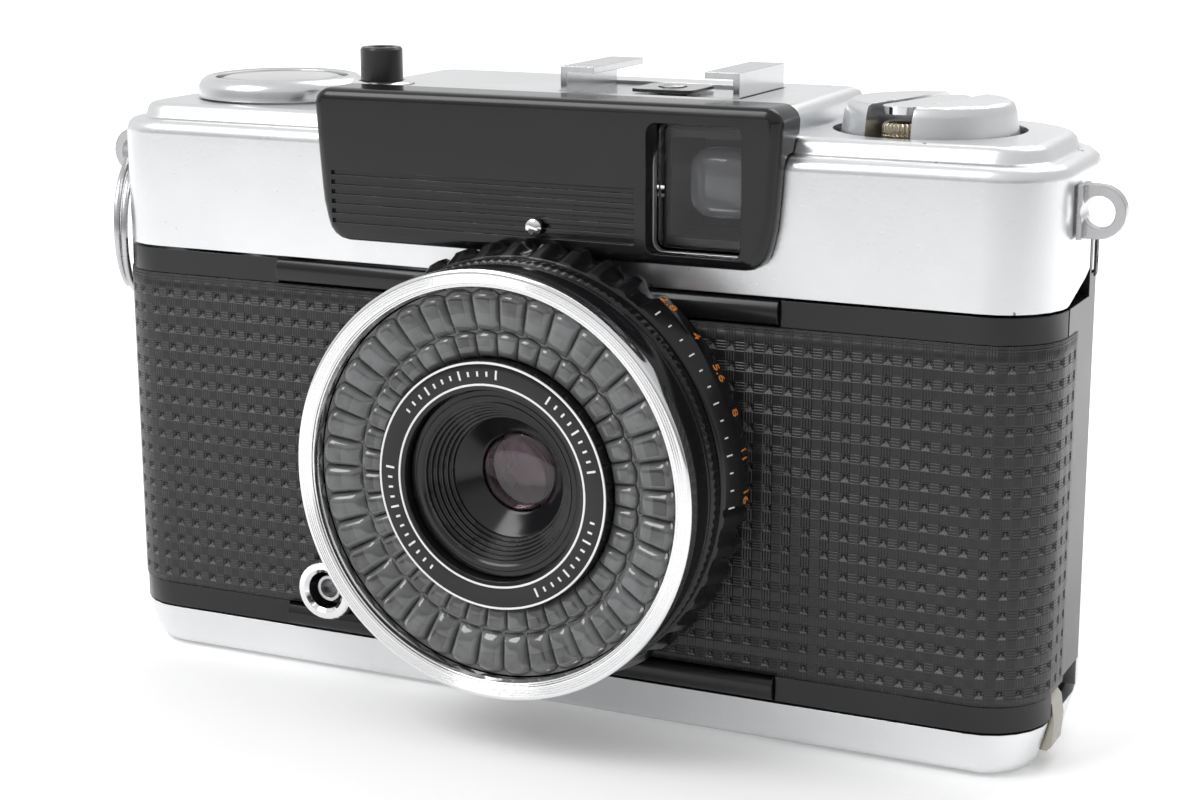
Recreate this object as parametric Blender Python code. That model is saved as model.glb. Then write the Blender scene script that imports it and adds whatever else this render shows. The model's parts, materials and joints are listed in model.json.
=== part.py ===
"""Half frame viewfinder camera with a selenium cell around its lens.

Every piece is one closed solid.  All sizes are in millimetres and are turned into metres when a mesh
is made.  +X is to the right of someone facing the lens, the lens looks along -Y and +Z is up.  The
origin is the centre of the base plate's flat underside.
"""
import math

import bmesh
import bpy

MM = 0.001

# Driving dimensions
HALF_WIDTH = 54.65
FRONT_Y = -15.5
BACK_Y = 14.0
FRONT_R = 7.0
BACK_R = 13.0
GAP = 0.3

BASE_TOP = 4.9
CASTING_LOW = BASE_TOP + GAP
CASTING_TOP = 47.4
SKIN_LOW = 7.9
SKIN_HIGH = 44.7
COVER_LOW = 47.7
COVER_BACK_LOW = 53.7
SHOULDER_Z = 61.7
PLATEAU_Z = 63.4
HUMP_Z = 66.3
COVER_WALL = 0.9

SEAM_LEFT = -31.65
SEAM_RIGHT = 27.45
SIDE_END_Y = -8.5
SKIN_LEFT_END_Y = 0.6
COVER_STEP_Y = -0.7
RIGHT_SHELL_Y = -0.7
LEFT_SHELL_Y = 5.3

LENS_X = 2.0
LENS_Z = 28.8
LENS_SPIGOT_R = 14.7
PLATE_X = 1.3
GATE_Y = 9.0
FILM_LOW = LENS_Z - 17.5
FILM_HIGH = LENS_Z + 17.5
GATE_HALF_W = 9.0
GATE_HALF_H = 12.0

TAKE_UP = (-39.9, 2.2)
TAKE_UP_R = 9.8
COUNTER = (-40.3, -0.1)
CASSETTE = (37.6, -0.4)
CASSETTE_R = 12.9
CHAMBER_LOW = 6.9
CHAMBER_HIGH = 50.8
SPROCKET = (-20.9, 3.25)
SPROCKET_R = 6.05

DOOR_WALL = 1.6
DOOR_LOW = 5.2
DOOR_HIGH = 53.4
DOOR_SIDE_Y = 2.4
DOOR_TOP_SIDE_Y = 0.4
DOOR_STEP_Z = 49.9
HINGE = (-52.2, 7.5)
KNUCKLE_R = 1.5
HINGE_SPLIT = (14.0, 44.0)

LUG_Y = -6.2
LUG_Z = 56.9
LUG_X = 56.75
LUG_R = 2.65
LUG_HOLE_R = 1.6
BUTTON = (-21.9, -8.6)
FINDER_X = 18.7
EYE_Z = 57.2
HUMP = (-24.55, 27.15, -11.8, 10.4)
HUMP_ROOF = 2.3
SHOE = (9.4, -1.2)
SHOE_HALF_W = 10.15
SHOE_HALF_L = 6.3
SHOE_SINK = 1.2
TRIPOD = (13.0, 0.0)
SYNC = (-25.15, 10.8)
RELEASE = SPROCKET

COLOURS = {
    "satin_chrome": ((0.78, 0.79, 0.80), 0.32, 1.0),
    "bright_chrome": ((0.86, 0.86, 0.87), 0.10, 1.0),
    "black_paint": ((0.015, 0.015, 0.016), 0.28, 0.0),
    "casting_paint": ((0.02, 0.02, 0.022), 0.45, 0.0),
    "leatherette": ((0.02, 0.02, 0.021), 0.60, 0.0),
    "black_plastic": ((0.02, 0.02, 0.02), 0.40, 0.0),
    "brass": ((0.66, 0.50, 0.24), 0.35, 1.0),
    "steel": ((0.55, 0.55, 0.56), 0.35, 1.0),
    "optical_glass": ((0.55, 0.50, 0.58), 0.03, 0.0),
    "clear_plastic": ((0.60, 0.62, 0.64), 0.12, 0.0),
    "selenium": ((0.10, 0.10, 0.11), 0.30, 0.2),
    "white_enamel": ((0.80, 0.80, 0.78), 0.40, 0.0),
}


# Mesh helpers

def clear_scene():
    for obj in list(bpy.data.objects):
        bpy.data.objects.remove(obj, do_unlink=True)


def material(name):
    if name in bpy.data.materials:
        return bpy.data.materials[name]
    colour, roughness, metallic = COLOURS[name]
    made = bpy.data.materials.new(name)
    made.use_nodes = True
    shader = made.node_tree.nodes["Principled BSDF"]
    shader.inputs["Base Color"].default_value = (*colour, 1.0)
    shader.inputs["Roughness"].default_value = roughness
    shader.inputs["Metallic"].default_value = metallic
    made.diffuse_color = (*colour, 1.0)
    return made


def finish(name, bm, mat, origin):
    """Turn a bmesh drawn in millimetres into a named object whose origin is the given point."""
    bmesh.ops.recalc_face_normals(bm, faces=bm.faces)
    for vert in bm.verts:
        vert.co = [(vert.co[i] - origin[i]) * MM for i in range(3)]
    mesh = bpy.data.meshes.new(name)
    bm.to_mesh(mesh)
    bm.free()
    mesh.shade_smooth()
    mesh.set_sharp_from_angle(angle=math.radians(32))
    mesh.materials.append(material(mat))
    obj = bpy.data.objects.new(name, mesh)
    obj.location = [value * MM for value in origin]
    bpy.context.collection.objects.link(obj)
    return obj


def bridge(bm, first, second):
    count = len(first)
    for i in range(count):
        j = (i + 1) % count
        bm.faces.new((first[i], first[j], second[j], second[i]))


def loft(name, loops, mat, origin=(0, 0, 0), ring=False):
    """Join loops of equal length; a ring closes on itself, anything else gets flat caps."""
    bm = bmesh.new()
    rings = [[bm.verts.new(point) for point in loop] for loop in loops]
    for first, second in zip(rings, rings[1:]):
        bridge(bm, first, second)
    if ring:
        bridge(bm, rings[-1], rings[0])
    else:
        bm.faces.new(rings[0])
        bm.faces.new(rings[-1])
    return finish(name, bm, mat, origin)


def circle(radius, segments, level, centre, axis):
    points = []
    for i in range(segments):
        angle = 2 * math.pi * i / segments
        u = centre[0] + radius * math.cos(angle)
        v = centre[1] + radius * math.sin(angle)
        points.append((u, v, level) if axis == "Z" else (u, level, v))
    return points


def turned(name, profile, centre, mat, axis="Z", segments=32, ring=False, origin=(0, 0, 0)):
    """Turn a profile of (radius, level) points; centre is (x, y) about Z, or (x, z) about Y."""
    loops = [circle(radius, segments, level, centre, axis) for radius, level in profile]
    return loft(name, loops, mat, origin, ring)


def slab(name, outline, low, high, mat, axis="Z", origin=(0, 0, 0)):
    """Push a flat outline from low to high along an axis."""
    place = {
        "X": lambda p, level: (level, p[0], p[1]),
        "Y": lambda p, level: (p[0], level, p[1]),
        "Z": lambda p, level: (p[0], p[1], level),
    }[axis]
    return loft(name, [[place(p, level) for p in outline] for level in (low, high)], mat, origin)


def box(name, xs, ys, zs, mat="casting_paint", origin=(0, 0, 0)):
    outline = [(xs[0], ys[0]), (xs[1], ys[0]), (xs[1], ys[1]), (xs[0], ys[1])]
    return slab(name, outline, zs[0], zs[1], mat, origin=origin)


def combine(target, operation, tools):
    for tool in tools:
        tool.hide_render = True
        tool.display_type = "WIRE"
        modifier = target.modifiers.new(tool.name, "BOOLEAN")
        modifier.operation = operation
        modifier.solver = "EXACT"
        modifier.object = tool
    return target


def carve(target, *tools):
    return combine(target, "DIFFERENCE", tools)


def weld(target, *tools):
    return combine(target, "UNION", tools)


def cylinder(name, radius, centre, low, high, axis="Z", segments=32, mat="casting_paint"):
    return turned(name, [(radius, low), (radius, high)], centre, mat, axis, segments)


# Outlines

def arc(cx, cy, radius, start, end, steps):
    if radius <= 0 or steps == 0:
        return [(cx, cy)]
    points = []
    for i in range(steps + 1):
        angle = math.radians(start + (end - start) * i / steps)
        points.append((cx + radius * math.cos(angle), cy + radius * math.sin(angle)))
    return points


def rounded_rect(x0, x1, y0, y1, r_low, r_high, steps=5):
    """Rectangle with one radius for its low-Y corners and another for its high-Y corners."""
    low_steps = steps if r_low > 0 else 0
    high_steps = steps if r_high > 0 else 0
    outline = arc(x0 + r_low, y0 + r_low, r_low, 180, 270, low_steps)
    outline += arc(x1 - r_low, y0 + r_low, r_low, 270, 360, low_steps)
    outline += arc(x1 - r_high, y1 - r_high, r_high, 0, 90, high_steps)
    outline += arc(x0 + r_high, y1 - r_high, r_high, 90, 180, high_steps)
    return outline


def body_outline(inset, steps=6):
    return rounded_rect(-HALF_WIDTH + inset, HALF_WIDTH - inset, FRONT_Y + inset, BACK_Y - inset,
                        max(FRONT_R - inset, 0.4), max(BACK_R - inset, 0.4), steps)


def body_loops(levels):
    """Loops around the whole body from (height, inset) pairs."""
    return [[(x, y, z) for x, y in body_outline(inset)] for z, inset in levels]


def front_path(inset, left_end_y, steps=6):
    """Path from the left side round the front to the end of the right corner."""
    left = arc(-HALF_WIDTH + FRONT_R, FRONT_Y + FRONT_R, FRONT_R - inset, 180, 270, steps)
    right = arc(HALF_WIDTH - FRONT_R, FRONT_Y + FRONT_R, FRONT_R - inset, 270, 360, steps)
    return [(-HALF_WIDTH + inset, left_end_y)] + left + right


def back_path(inset, side_y):
    """Path round the back from side_y on the right to side_y on the left."""
    rise = max(side_y - BACK_Y + BACK_R, 0)
    start = math.degrees(math.asin(rise / (BACK_R - inset)))
    right = rear_corner(inset, start, 90)
    left = [(-x, y) for x, y in reversed(right)]
    if rise > 0:
        return right + left
    return [(HALF_WIDTH - inset, side_y)] + right + left + [(-HALF_WIDTH + inset, side_y)]


def rear_corner(inset, start, end, side=1, steps=6):
    """Part of a rear corner; side is +1 for the right corner and -1 for the left one."""
    centre = HALF_WIDTH - BACK_R
    points = arc(centre, BACK_Y - BACK_R, BACK_R - inset, start, end, steps)
    return [(side * x, y) for x, y in points]


def band(path, outer, inner, end_y):
    return path(outer, end_y) + list(reversed(path(inner, end_y)))


# Chassis

def make_casting():
    casting = slab("body_casting", body_outline(0), CASTING_LOW, CASTING_TOP, "casting_paint")
    carve(casting,
          box("cut_shell_right", (-45, 60), (RIGHT_SHELL_Y, 20), (0, 60)),
          box("cut_shell_left", (-60, -44.9), (LEFT_SHELL_Y, 20), (0, 60)))
    inset = DOOR_WALL + 0.4
    inner = HALF_WIDTH - inset
    block = rounded_rect(-inner, inner, -3.0, BACK_Y - inset, 0, BACK_R - inset, 6)
    wall_start = math.degrees(math.asin((GATE_Y - BACK_Y + BACK_R) / (BACK_R - inset)))
    wall = rear_corner(inset, wall_start, 90) + rear_corner(inset, 90, wall_start, -1)
    tower = cylinder("add_cassette_tower", CASSETTE_R + 0.8, CASSETTE, 44.0, 52.2, segments=40)
    weld(casting,
         slab("add_rear_block", block, CASTING_LOW, CASTING_TOP, "casting_paint"),
         slab("add_rear_wall", wall, CASTING_TOP - 2.0, 53.1, "casting_paint"),
         slab("add_left_tower", left_tower_outline(), CASTING_TOP - 2.0, 53.1, "casting_paint"),
         tower)
    carve(casting, *chamber_tools(), *front_tools(), hinge_scoop())
    knuckles = [cylinder("add_knuckle_%d" % i, KNUCKLE_R, HINGE, low, high, segments=16)
                for i, (low, high) in enumerate(knuckle_spans())]
    webs = [box("add_knuckle_web_%d" % i, (HINGE[0] - 1.2, HINGE[0] + 1.2), (LEFT_SHELL_Y - 0.8, HINGE[1]), span)
            for i, span in enumerate(knuckle_spans())]
    weld(casting, *webs, *knuckles)
    carve(casting, cylinder("cut_casting_pin", 0.85, HINGE, 5.6, 60.0, segments=12))
    return casting


def left_tower_outline():
    """Left flank between the cover's step and the hinge, following the rear corner."""
    end = math.degrees(math.asin((LEFT_SHELL_Y - BACK_Y + BACK_R) / BACK_R))
    edge = rear_corner(0, 0, end, -1, 4)
    return [(-HALF_WIDTH, COVER_STEP_Y + GAP)] + edge + [(-50.2, LEFT_SHELL_Y), (-50.2, COVER_STEP_Y + GAP)]


def knuckle_spans():
    return [(CASTING_LOW, HINGE_SPLIT[0] - GAP), (HINGE_SPLIT[1] + GAP, 52.8)]


def chamber_tools():
    """Everything hollowed out behind the front wall."""
    cx, cy = CASSETTE
    tx, ty = TAKE_UP
    sx, sy = SPROCKET
    return [
        cylinder("cut_cassette", CASSETTE_R, CASSETTE, CHAMBER_LOW, CHAMBER_HIGH, segments=40),
        box("cut_cassette_mouth", (cx - CASSETTE_R, cx + CASSETTE_R), (cy, 20), (CHAMBER_LOW, CHAMBER_HIGH)),
        box("cut_tower_back", (20, 56), (BACK_Y - DOOR_WALL - 0.4, 20), (CASTING_TOP - 4, 60)),
        cylinder("cut_fork_hole", 3.6, CASSETTE, CHAMBER_HIGH - 1.0, 54.0, segments=20),
        cylinder("cut_take_up", TAKE_UP_R, TAKE_UP, CHAMBER_LOW, 46.2, segments=32),
        box("cut_take_up_mouth", (tx - TAKE_UP_R, tx + TAKE_UP_R), (ty, 20), (CHAMBER_LOW, 46.2)),
        cylinder("cut_take_up_shaft", 2.2, TAKE_UP, 44.0, 50.0, segments=16),
        cylinder("cut_sprocket", 7.7, SPROCKET, FILM_LOW - 1.0, FILM_HIGH + 0.4, segments=32),
        box("cut_sprocket_mouth", (sx - 7.7, sx + 7.7), (sy, 20), (FILM_LOW - 1.0, FILM_HIGH + 0.4)),
        cylinder("cut_sprocket_low", 2.6, SPROCKET, 4.0, FILM_LOW, segments=16),
        cylinder("cut_sprocket_high", 1.9, SPROCKET, FILM_HIGH - 1.0, 50.0, segments=16),
        box("cut_film_path", (-50.5, 52.6), (GATE_Y + 0.4, 20), (FILM_LOW - 0.6, FILM_HIGH + 0.7)),
        box("cut_gate_seat", (LENS_X - 17.3, LENS_X + 17.3), (GATE_Y - 1.0, 20),
            (FILM_LOW - 0.6, FILM_HIGH + 0.7)),
        box("cut_light_tunnel", (LENS_X - 11, LENS_X + 11), (-12, GATE_Y), (LENS_Z - 14, LENS_Z + 14)),
        cylinder("cut_shutter_pocket", 17.2, (LENS_X, LENS_Z), -14.0, -7.8, "Y", 40),
    ]


def front_tools():
    plate = box("cut_front_plate", (SEAM_LEFT, SEAM_RIGHT), (-20, FRONT_Y + 2.5), (0, 60))
    skin = slab("cut_skin_recess", band(front_path, -3.0, 1.0, SKIN_LEFT_END_Y + 0.15), SKIN_LOW, SKIN_HIGH,
                "casting_paint")
    channel = box("cut_latch_channel", (HALF_WIDTH - 1.6, 60), (SIDE_END_Y, 5), (0, 60))
    return [plate, skin, channel]


def hinge_scoop():
    return cylinder("cut_hinge_scoop", KNUCKLE_R + 0.8, HINGE, 0, 60, segments=20)


def make_front_plate():
    back = FRONT_Y + 2.2
    floor = FRONT_Y + 1.0

    def strip(low, high):
        middle = (low + high) / 2
        half = (high - low) / 2
        points = []
        for i in range(7):
            angle = math.radians(-90 + 30 * i)
            points.append((FRONT_Y - 0.7 * math.cos(angle), middle + half * math.sin(angle)))
        return points

    section = [(back, CASTING_LOW)] + strip(CASTING_LOW, SKIN_LOW - 0.2)
    section += [(floor, SKIN_LOW - 0.2), (floor, SKIN_HIGH + 0.2)]
    section += strip(SKIN_HIGH + 0.2, CASTING_TOP) + [(back, CASTING_TOP)]
    plate = slab("front_plate", section, SEAM_LEFT + 0.15, SEAM_RIGHT - 0.15, "casting_paint", "X")
    carve(plate,
          cylinder("cut_plate_lens", LENS_SPIGOT_R + 0.3, (LENS_X, LENS_Z), -20, 0, "Y", 48),
          cylinder("cut_plate_flange", 20.8, (LENS_X, LENS_Z), -20, FRONT_Y, "Y", 48),
          cylinder("cut_plate_sync", 1.9, SYNC, -20, 0, "Y", 16))
    return plate


def make_front_skin():
    outline = band(front_path, 0.1, 0.75, SKIN_LEFT_END_Y)
    skin = slab("leatherette_front", outline, SKIN_LOW + 0.15, SKIN_HIGH - 0.15, "leatherette")
    carve(skin,
          cylinder("cut_skin_lens", LENS_SPIGOT_R + 0.4, (LENS_X, LENS_Z), -20, -10, "Y", 48),
          cylinder("cut_skin_sync", 3.75, SYNC, -20, -10, "Y", 20))
    return skin


def make_film_gate():
    """Gate plate with two inner and two outer film rails."""
    back = GATE_Y - 0.7
    rail = GATE_Y + 0.4
    section = [(back, FILM_LOW - 0.3), (GATE_Y, FILM_LOW - 0.3)]
    for offset in (-17.0, -12.9, 12.9, 17.0):
        z = LENS_Z + offset
        section += [(GATE_Y, z - 0.45), (rail, z - 0.45), (rail, z + 0.45), (GATE_Y, z + 0.45)]
    section += [(GATE_Y, FILM_HIGH + 0.3), (back, FILM_HIGH + 0.3)]
    gate = slab("film_gate", section, LENS_X - 16.9, LENS_X + 16.9, "black_paint", "X")
    carve(gate, box("cut_gate_window", (LENS_X - GATE_HALF_W, LENS_X + GATE_HALF_W), (0, 20),
                    (LENS_Z - GATE_HALF_H, LENS_Z + GATE_HALF_H)))
    return gate


# Base

def make_base():
    levels = [(0.0, 2.4), (0.35, 1.6), (1.3, 1.05), (BASE_TOP, 0.1), (BASE_TOP, 1.2), (1.6, 2.3)]
    base = loft("base_plate", body_loops(levels), "satin_chrome")
    carve(base,
          box("cut_base_latch", (HALF_WIDTH - 2.2, 60), (SIDE_END_Y - 0.4, -3.6), (-1, 10)),
          cylinder("cut_base_tripod", 5.9, TRIPOD, -1, 3, segments=32),
          cylinder("cut_base_release", 2.4, RELEASE, -1, 3, segments=20))
    bush = [(3.0, 0.1), (5.6, 0.1), (5.6, 1.8), (6.6, 1.9), (6.6, 3.2), (3.0, 3.2)]
    turned("tripod_bush", bush, TRIPOD, "brass", segments=32, ring=True)
    stem = [(2.1, 0.5), (2.1, 2.0), (3.0, 2.0), (3.0, 2.6), (1.4, 2.6), (1.4, 4.6)]
    turned("rewind_release_button", stem, RELEASE, "bright_chrome", segments=20,
           origin=(*RELEASE, 0.5))


# Top cover

COVER_LEVELS = [(COVER_LOW, 0.0), (60.3, 0.0), (61.1, 0.25), (61.55, 0.75), (SHOULDER_Z, 1.4),
                (SHOULDER_Z, 2.1), (62.0, 2.3), (62.8, 2.55), (63.25, 2.95), (PLATEAU_Z, 3.6)]


def hump_outline(inset, radius):
    x0, x1, y0, y1 = HUMP
    return rounded_rect(x0 + inset, x1 - inset, y0 + inset, y1 - inset, radius, radius, 3)


def finder_opening(name, half, low, high, front, back):
    outline = rounded_rect(FINDER_X - half, FINDER_X + half, low, high, 1, 1, 3)
    return slab(name, outline, front, back, "satin_chrome", "Y")


def make_cover():
    cover = loft("top_cover", body_loops(COVER_LEVELS), "satin_chrome")
    hump_levels = [(62.5, 0.0), (65.2, 0.0), (65.95, 0.3), (HUMP_Z, 1.0)]
    hump = [[(x, y, z) for x, y in hump_outline(i, 1.4)] for z, i in hump_levels]
    weld(cover, loft("add_hump", hump, "satin_chrome"))
    hollow = [(40.0, COVER_WALL), (60.1, COVER_WALL), (60.7, 2.6), (PLATEAU_Z - COVER_WALL, 4.3)]
    shoe_x, shoe_y = SHOE
    carve(cover,
          loft("cut_cover_hollow", body_loops(hollow), "satin_chrome"),
          slab("cut_hump_hollow", hump_outline(1.2, 0.8), 60.0, HUMP_Z - HUMP_ROOF, "satin_chrome"),
          cover_back_tool(),
          box("cut_wheel_slot", (-52.2, -28.0), (8, 20), (55.4, 60.0)),
          finder_opening("cut_finder", 5.15, 51.45, 64.65, -20, -10.4),
          box("cut_eyepiece", (FINDER_X - 4.1, FINDER_X + 4.1), (9, 20), (EYE_Z - 3.3, EYE_Z + 3.3)),
          box("cut_shoe_seat", (shoe_x - SHOE_HALF_W - GAP, shoe_x + SHOE_HALF_W + GAP),
              (shoe_y - SHOE_HALF_L - 0.2, shoe_y + SHOE_HALF_L + 0.2), (HUMP_Z - SHOE_SINK, 80)),
          cylinder("cut_counter_hole", 8.2, COUNTER, 60, 70, segments=40),
          cylinder("cut_rewind_hole", 9.9, CASSETTE, 60, 70, segments=40),
          cylinder("cut_button_seat", 3.6, BUTTON, HUMP_Z - 0.3, 70, segments=28),
          cylinder("cut_button_hole", 2.55, BUTTON, 63.3, 70, segments=24),
          cylinder("cut_button_stem_hole", 2.0, BUTTON, 60, 70, segments=20))
    return cover


def cover_back_tool():
    """Clears the door: the lower edge steps up behind a short slope on both sides."""
    step = [(-9.0, 40.0), (-9.0, COVER_LOW), (COVER_STEP_Y - 1.6, 49.6), (COVER_STEP_Y, 50.3),
            (COVER_STEP_Y, COVER_BACK_LOW), (20.0, COVER_BACK_LOW), (20.0, 40.0)]
    return slab("cut_cover_back", step, -60, 60, "satin_chrome", "X")


def plate_outline(inset):
    """Name plate outline in X and Z: sides that spread upwards and rounded corners."""
    low = 50.3 + inset
    high = HUMP_Z + 0.3 - inset
    low_r = max(2.6 - inset, 0.5)
    high_r = max(1.8 - inset, 0.4)
    span = high - low

    def half_width(z):
        t = (z - low) / span
        return 25.4 + 1.9 * t - 0.65 * t * t - inset

    right = arc(half_width(low) - low_r, low + low_r, low_r, 270, 350, 4)
    for i in range(1, 7):
        z = low + low_r + (span - low_r - high_r) * i / 7
        right.append((half_width(z), z))
    right += arc(half_width(high) - high_r, high - high_r, high_r, 10, 90, 4)
    left = [(-x, z) for x, z in reversed(right)]
    return [(PLATE_X + x, z) for x, z in right + left]


def make_name_plate():
    levels = [(HUMP[2] - GAP, 0.0), (-16.5, 0.0), (-17.05, 0.15), (-17.35, 0.5), (-17.5, 1.0)]
    loops = [[(x, y, z) for x, z in plate_outline(inset)] for y, inset in levels]
    plate = loft("name_plate", loops, "black_paint")
    over = [(z + 0.25, inset - 0.25) for z, inset in COVER_LEVELS]
    over[0] = (40.0, -0.25)
    carve(plate,
          loft("cut_plate_seat", body_loops(over), "black_paint"),
          finder_opening("cut_plate_finder", 5.15, 51.45, 64.65, -20, -8))
    grooves = [box("cut_plate_groove_%d" % i, (-23.2, 12.3), (-18, -17.15), (z - 0.25, z + 0.25))
               for i, z in enumerate(52.5 + 1.03 * k for k in range(6))]
    carve(plate, *grooves)
    turned("index_stud", [(0.9, -17.8), (0.9, -18.3), (0.6, -18.5)], (PLATE_X, 53.4), "bright_chrome",
           "Y", 16)


def make_finder():
    x0, x1 = FINDER_X - 4.7, FINDER_X + 4.7
    glass = rounded_rect(FINDER_X - 4.9, FINDER_X + 4.9, 51.75, 64.35, 0.8, 0.8, 2)
    slab("viewfinder_window", glass, -14.8, -14.1, "optical_glass", "Y")
    tube = box("viewfinder_tube", (x0, x1), (-13.6, -4.0), (51.9, 63.7), "black_plastic")
    rear = box("add_tube_rear", (x0, x1), (-5.0, 12.6), (54.0, 59.9))
    neck = box("add_tube_neck", (FINDER_X - 3.8, FINDER_X + 3.8), (12.0, 14.8),
               (EYE_Z - 3.0, EYE_Z + 3.0))
    frame = slab("add_eyepiece_frame",
                 rounded_rect(FINDER_X - 5.6, FINDER_X + 5.6, EYE_Z - 3.4, EYE_Z + 3.4, 1.2, 1.2, 3),
                 BACK_Y + GAP, BACK_Y + 1.5, "black_plastic", "Y")
    weld(tube, rear, neck, frame)
    carve(tube,
          box("cut_tube_front", (x0 + 0.8, x1 - 0.8), (-20, -5.2), (52.7, 62.9)),
          box("cut_tube_rear", (x0 + 0.8, x1 - 0.8), (-6, 11.4), (54.8, 59.1)),
          box("cut_tube_eye", (FINDER_X - 3.0, FINDER_X + 3.0), (10, 20), (EYE_Z - 2.1, EYE_Z + 2.1)))
    objective = rounded_rect(FINDER_X - 0.6, FINDER_X + 3.6, 54.2, 62.0, 1.2, 1.2, 3)
    slab("viewfinder_objective", objective, -11.6, -9.8, "optical_glass", "Y")
    eye = rounded_rect(FINDER_X - 2.7, FINDER_X + 2.7, EYE_Z - 1.8, EYE_Z + 1.8, 0.5, 0.5, 2)
    slab("viewfinder_eye_lens", eye, 12.4, 13.8, "optical_glass", "Y")


# Controls on the top

def make_shutter_button():
    low = HUMP_Z - 0.1
    collar = [(2.55, low), (3.35, low), (3.35, low + 0.25), (3.1, low + 0.45), (2.55, low + 0.5)]
    turned("button_collar", collar, BUTTON, "bright_chrome", segments=28, ring=True)
    top = HUMP_Z + 4.0
    button = [(1.6, 60.5), (1.6, HUMP_Z - 0.8), (2.3, HUMP_Z - 0.8), (2.3, top - 0.25), (2.1, top),
              (1.5, top), (1.0, top - 0.6)]
    turned("shutter_button", button, BUTTON, "black_plastic", segments=28,
           origin=(*BUTTON, HUMP_Z))


def make_counter():
    z = PLATEAU_Z
    bezel = [(7.6, z + 0.2), (9.6, z + 0.2), (9.6, z + 1.3), (9.3, z + 1.9), (8.7, z + 2.4), (8.0, z + 2.5),
             (7.6, z + 2.3)]
    turned("counter_bezel", bezel, COUNTER, "bright_chrome", segments=48, ring=True)
    window = [(7.3, z + 1.5), (7.3, z + 2.0), (6.4, z + 2.3)]
    turned("counter_window", window, COUNTER, "clear_plastic", segments=40)
    dial = [(1.4, 60.5), (1.4, z - 0.7), (7.2, z - 0.7), (7.2, z - 0.1)]
    turned("counter_dial", dial, COUNTER, "white_enamel", segments=32, origin=(*COUNTER, z))


def make_shoe():
    x, y = SHOE
    low = HUMP_Z - SHOE_SINK + 0.2
    high = low + 3.6
    half = SHOE_HALF_W
    lip = 6.3
    wall = 0.7
    inner = half - wall
    section = [(x - half, low), (x + half, low), (x + half, high), (x + lip, high), (x + lip, high - wall),
               (x + inner, high - wall), (x + inner, low + wall), (x - inner, low + wall),
               (x - inner, high - wall), (x - lip, high - wall), (x - lip, high), (x - half, high)]
    shoe = slab("accessory_shoe", section, y - SHOE_HALF_L, y + SHOE_HALF_L, "bright_chrome", "Y")
    carve(shoe,
          cylinder("cut_shoe_contact", 2.4, SHOE, 60, low + 1.5, segments=16),
          box("cut_shoe_notch", (x - 5.5, x + 5.5), (y + 4.3, 20), (60, 80)))
    floor = low + wall
    insulator = rounded_rect(x - 3.6, x + 3.6, y - 3.4, y + 3.6, 1, 1, 2)
    pad = slab("shoe_insulator", insulator, floor + 0.2, floor + 0.55, "black_plastic")
    carve(pad, cylinder("cut_pad_contact", 1.6, SHOE, 60, 75, segments=16))
    turned("shoe_contact", [(1.3, floor - 0.4), (1.3, floor + 0.65), (0.9, floor + 0.85)], SHOE, "brass",
           segments=16)


# Rewind

CRANK_ANGLE = math.radians(258)
CRANK_PIVOT = 5.0
CRANK_REACH = 5.6
KNOB_TOP = 66.4


def crank_point(along, across):
    """A point on top of the knob, measured along the folded crank from the knob's centre."""
    ux, uy = math.cos(CRANK_ANGLE), math.sin(CRANK_ANGLE)
    return (CASSETTE[0] + along * ux - across * uy, CASSETTE[1] + along * uy + across * ux)


def crank_bar(along0, along1, half):
    return [crank_point(along0, -half), crank_point(along1, -half), crank_point(along1, half),
            crank_point(along0, half)]


def make_rewind():
    sleeve = [(2.0, 55.3), (3.1, 55.3), (3.1, 59.9), (2.0, 59.9)]
    turned("rewind_sleeve", sleeve, CASSETTE, "steel", segments=20, ring=True, origin=(*CASSETTE, 55.3))
    shaft = cylinder("rewind_shaft", 1.6, CASSETTE, 45.0, 61.0, segments=16, mat="steel")
    fork = box("add_fork", (CASSETTE[0] - 2.9, CASSETTE[0] + 2.9), (CASSETTE[1] - 0.6, CASSETTE[1] + 0.6),
               (43.6, 46.4), "steel")
    weld(shaft, fork)
    knob = turned("rewind_knob", [(8.6, 61.4), (9.1, 61.6), (9.1, 62.6), (8.7, 65.3), (8.4, 66.1), (7.9, KNOB_TOP)],
                  CASSETTE, "satin_chrome", segments=48, origin=(*CASSETTE, 61.4))
    slot = slab("cut_crank_slot", crank_bar(-12, 12, 2.35), KNOB_TOP - 1.25, 70, "satin_chrome")
    pocket = slab("cut_pivot_pocket", crank_bar(-CRANK_PIVOT - 2.0, -CRANK_PIVOT + 2.0, 2.3), KNOB_TOP - 2.5, 70,
                  "satin_chrome")
    well = slab("cut_handle_well", crank_bar(CRANK_REACH - 2.6, 12, 2.6), 61.9, 70, "black_paint")
    carve(knob, slot, pocket, well)
    pivot = crank_point(-CRANK_PIVOT, 0)
    origin = (*pivot, KNOB_TOP - 0.55)
    slab("crank_lever", crank_lever_outline(), KNOB_TOP - 0.95, KNOB_TOP - 0.15, "bright_chrome",
         origin=origin)
    hx, hy = crank_point(CRANK_REACH, 0)
    handle = [(1.4, 62.3), (2.0, 62.5), (2.0, 64.4), (1.5, 64.7)]
    turned("crank_handle", handle, (hx, hy), "brass", segments=24, origin=(hx, hy, 62.3))


def crank_lever_outline():
    half = 2.0
    points = []
    for i in range(9):
        angle = math.radians(-90 + 22.5 * i)
        points.append(crank_point(CRANK_REACH + half * math.cos(angle), half * math.sin(angle)))
    for i in range(9):
        angle = math.radians(90 + 22.5 * i)
        points.append(crank_point(-CRANK_PIVOT + 1.6 * math.cos(angle), 1.6 * math.sin(angle)))
    return points


# Film transport

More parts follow.
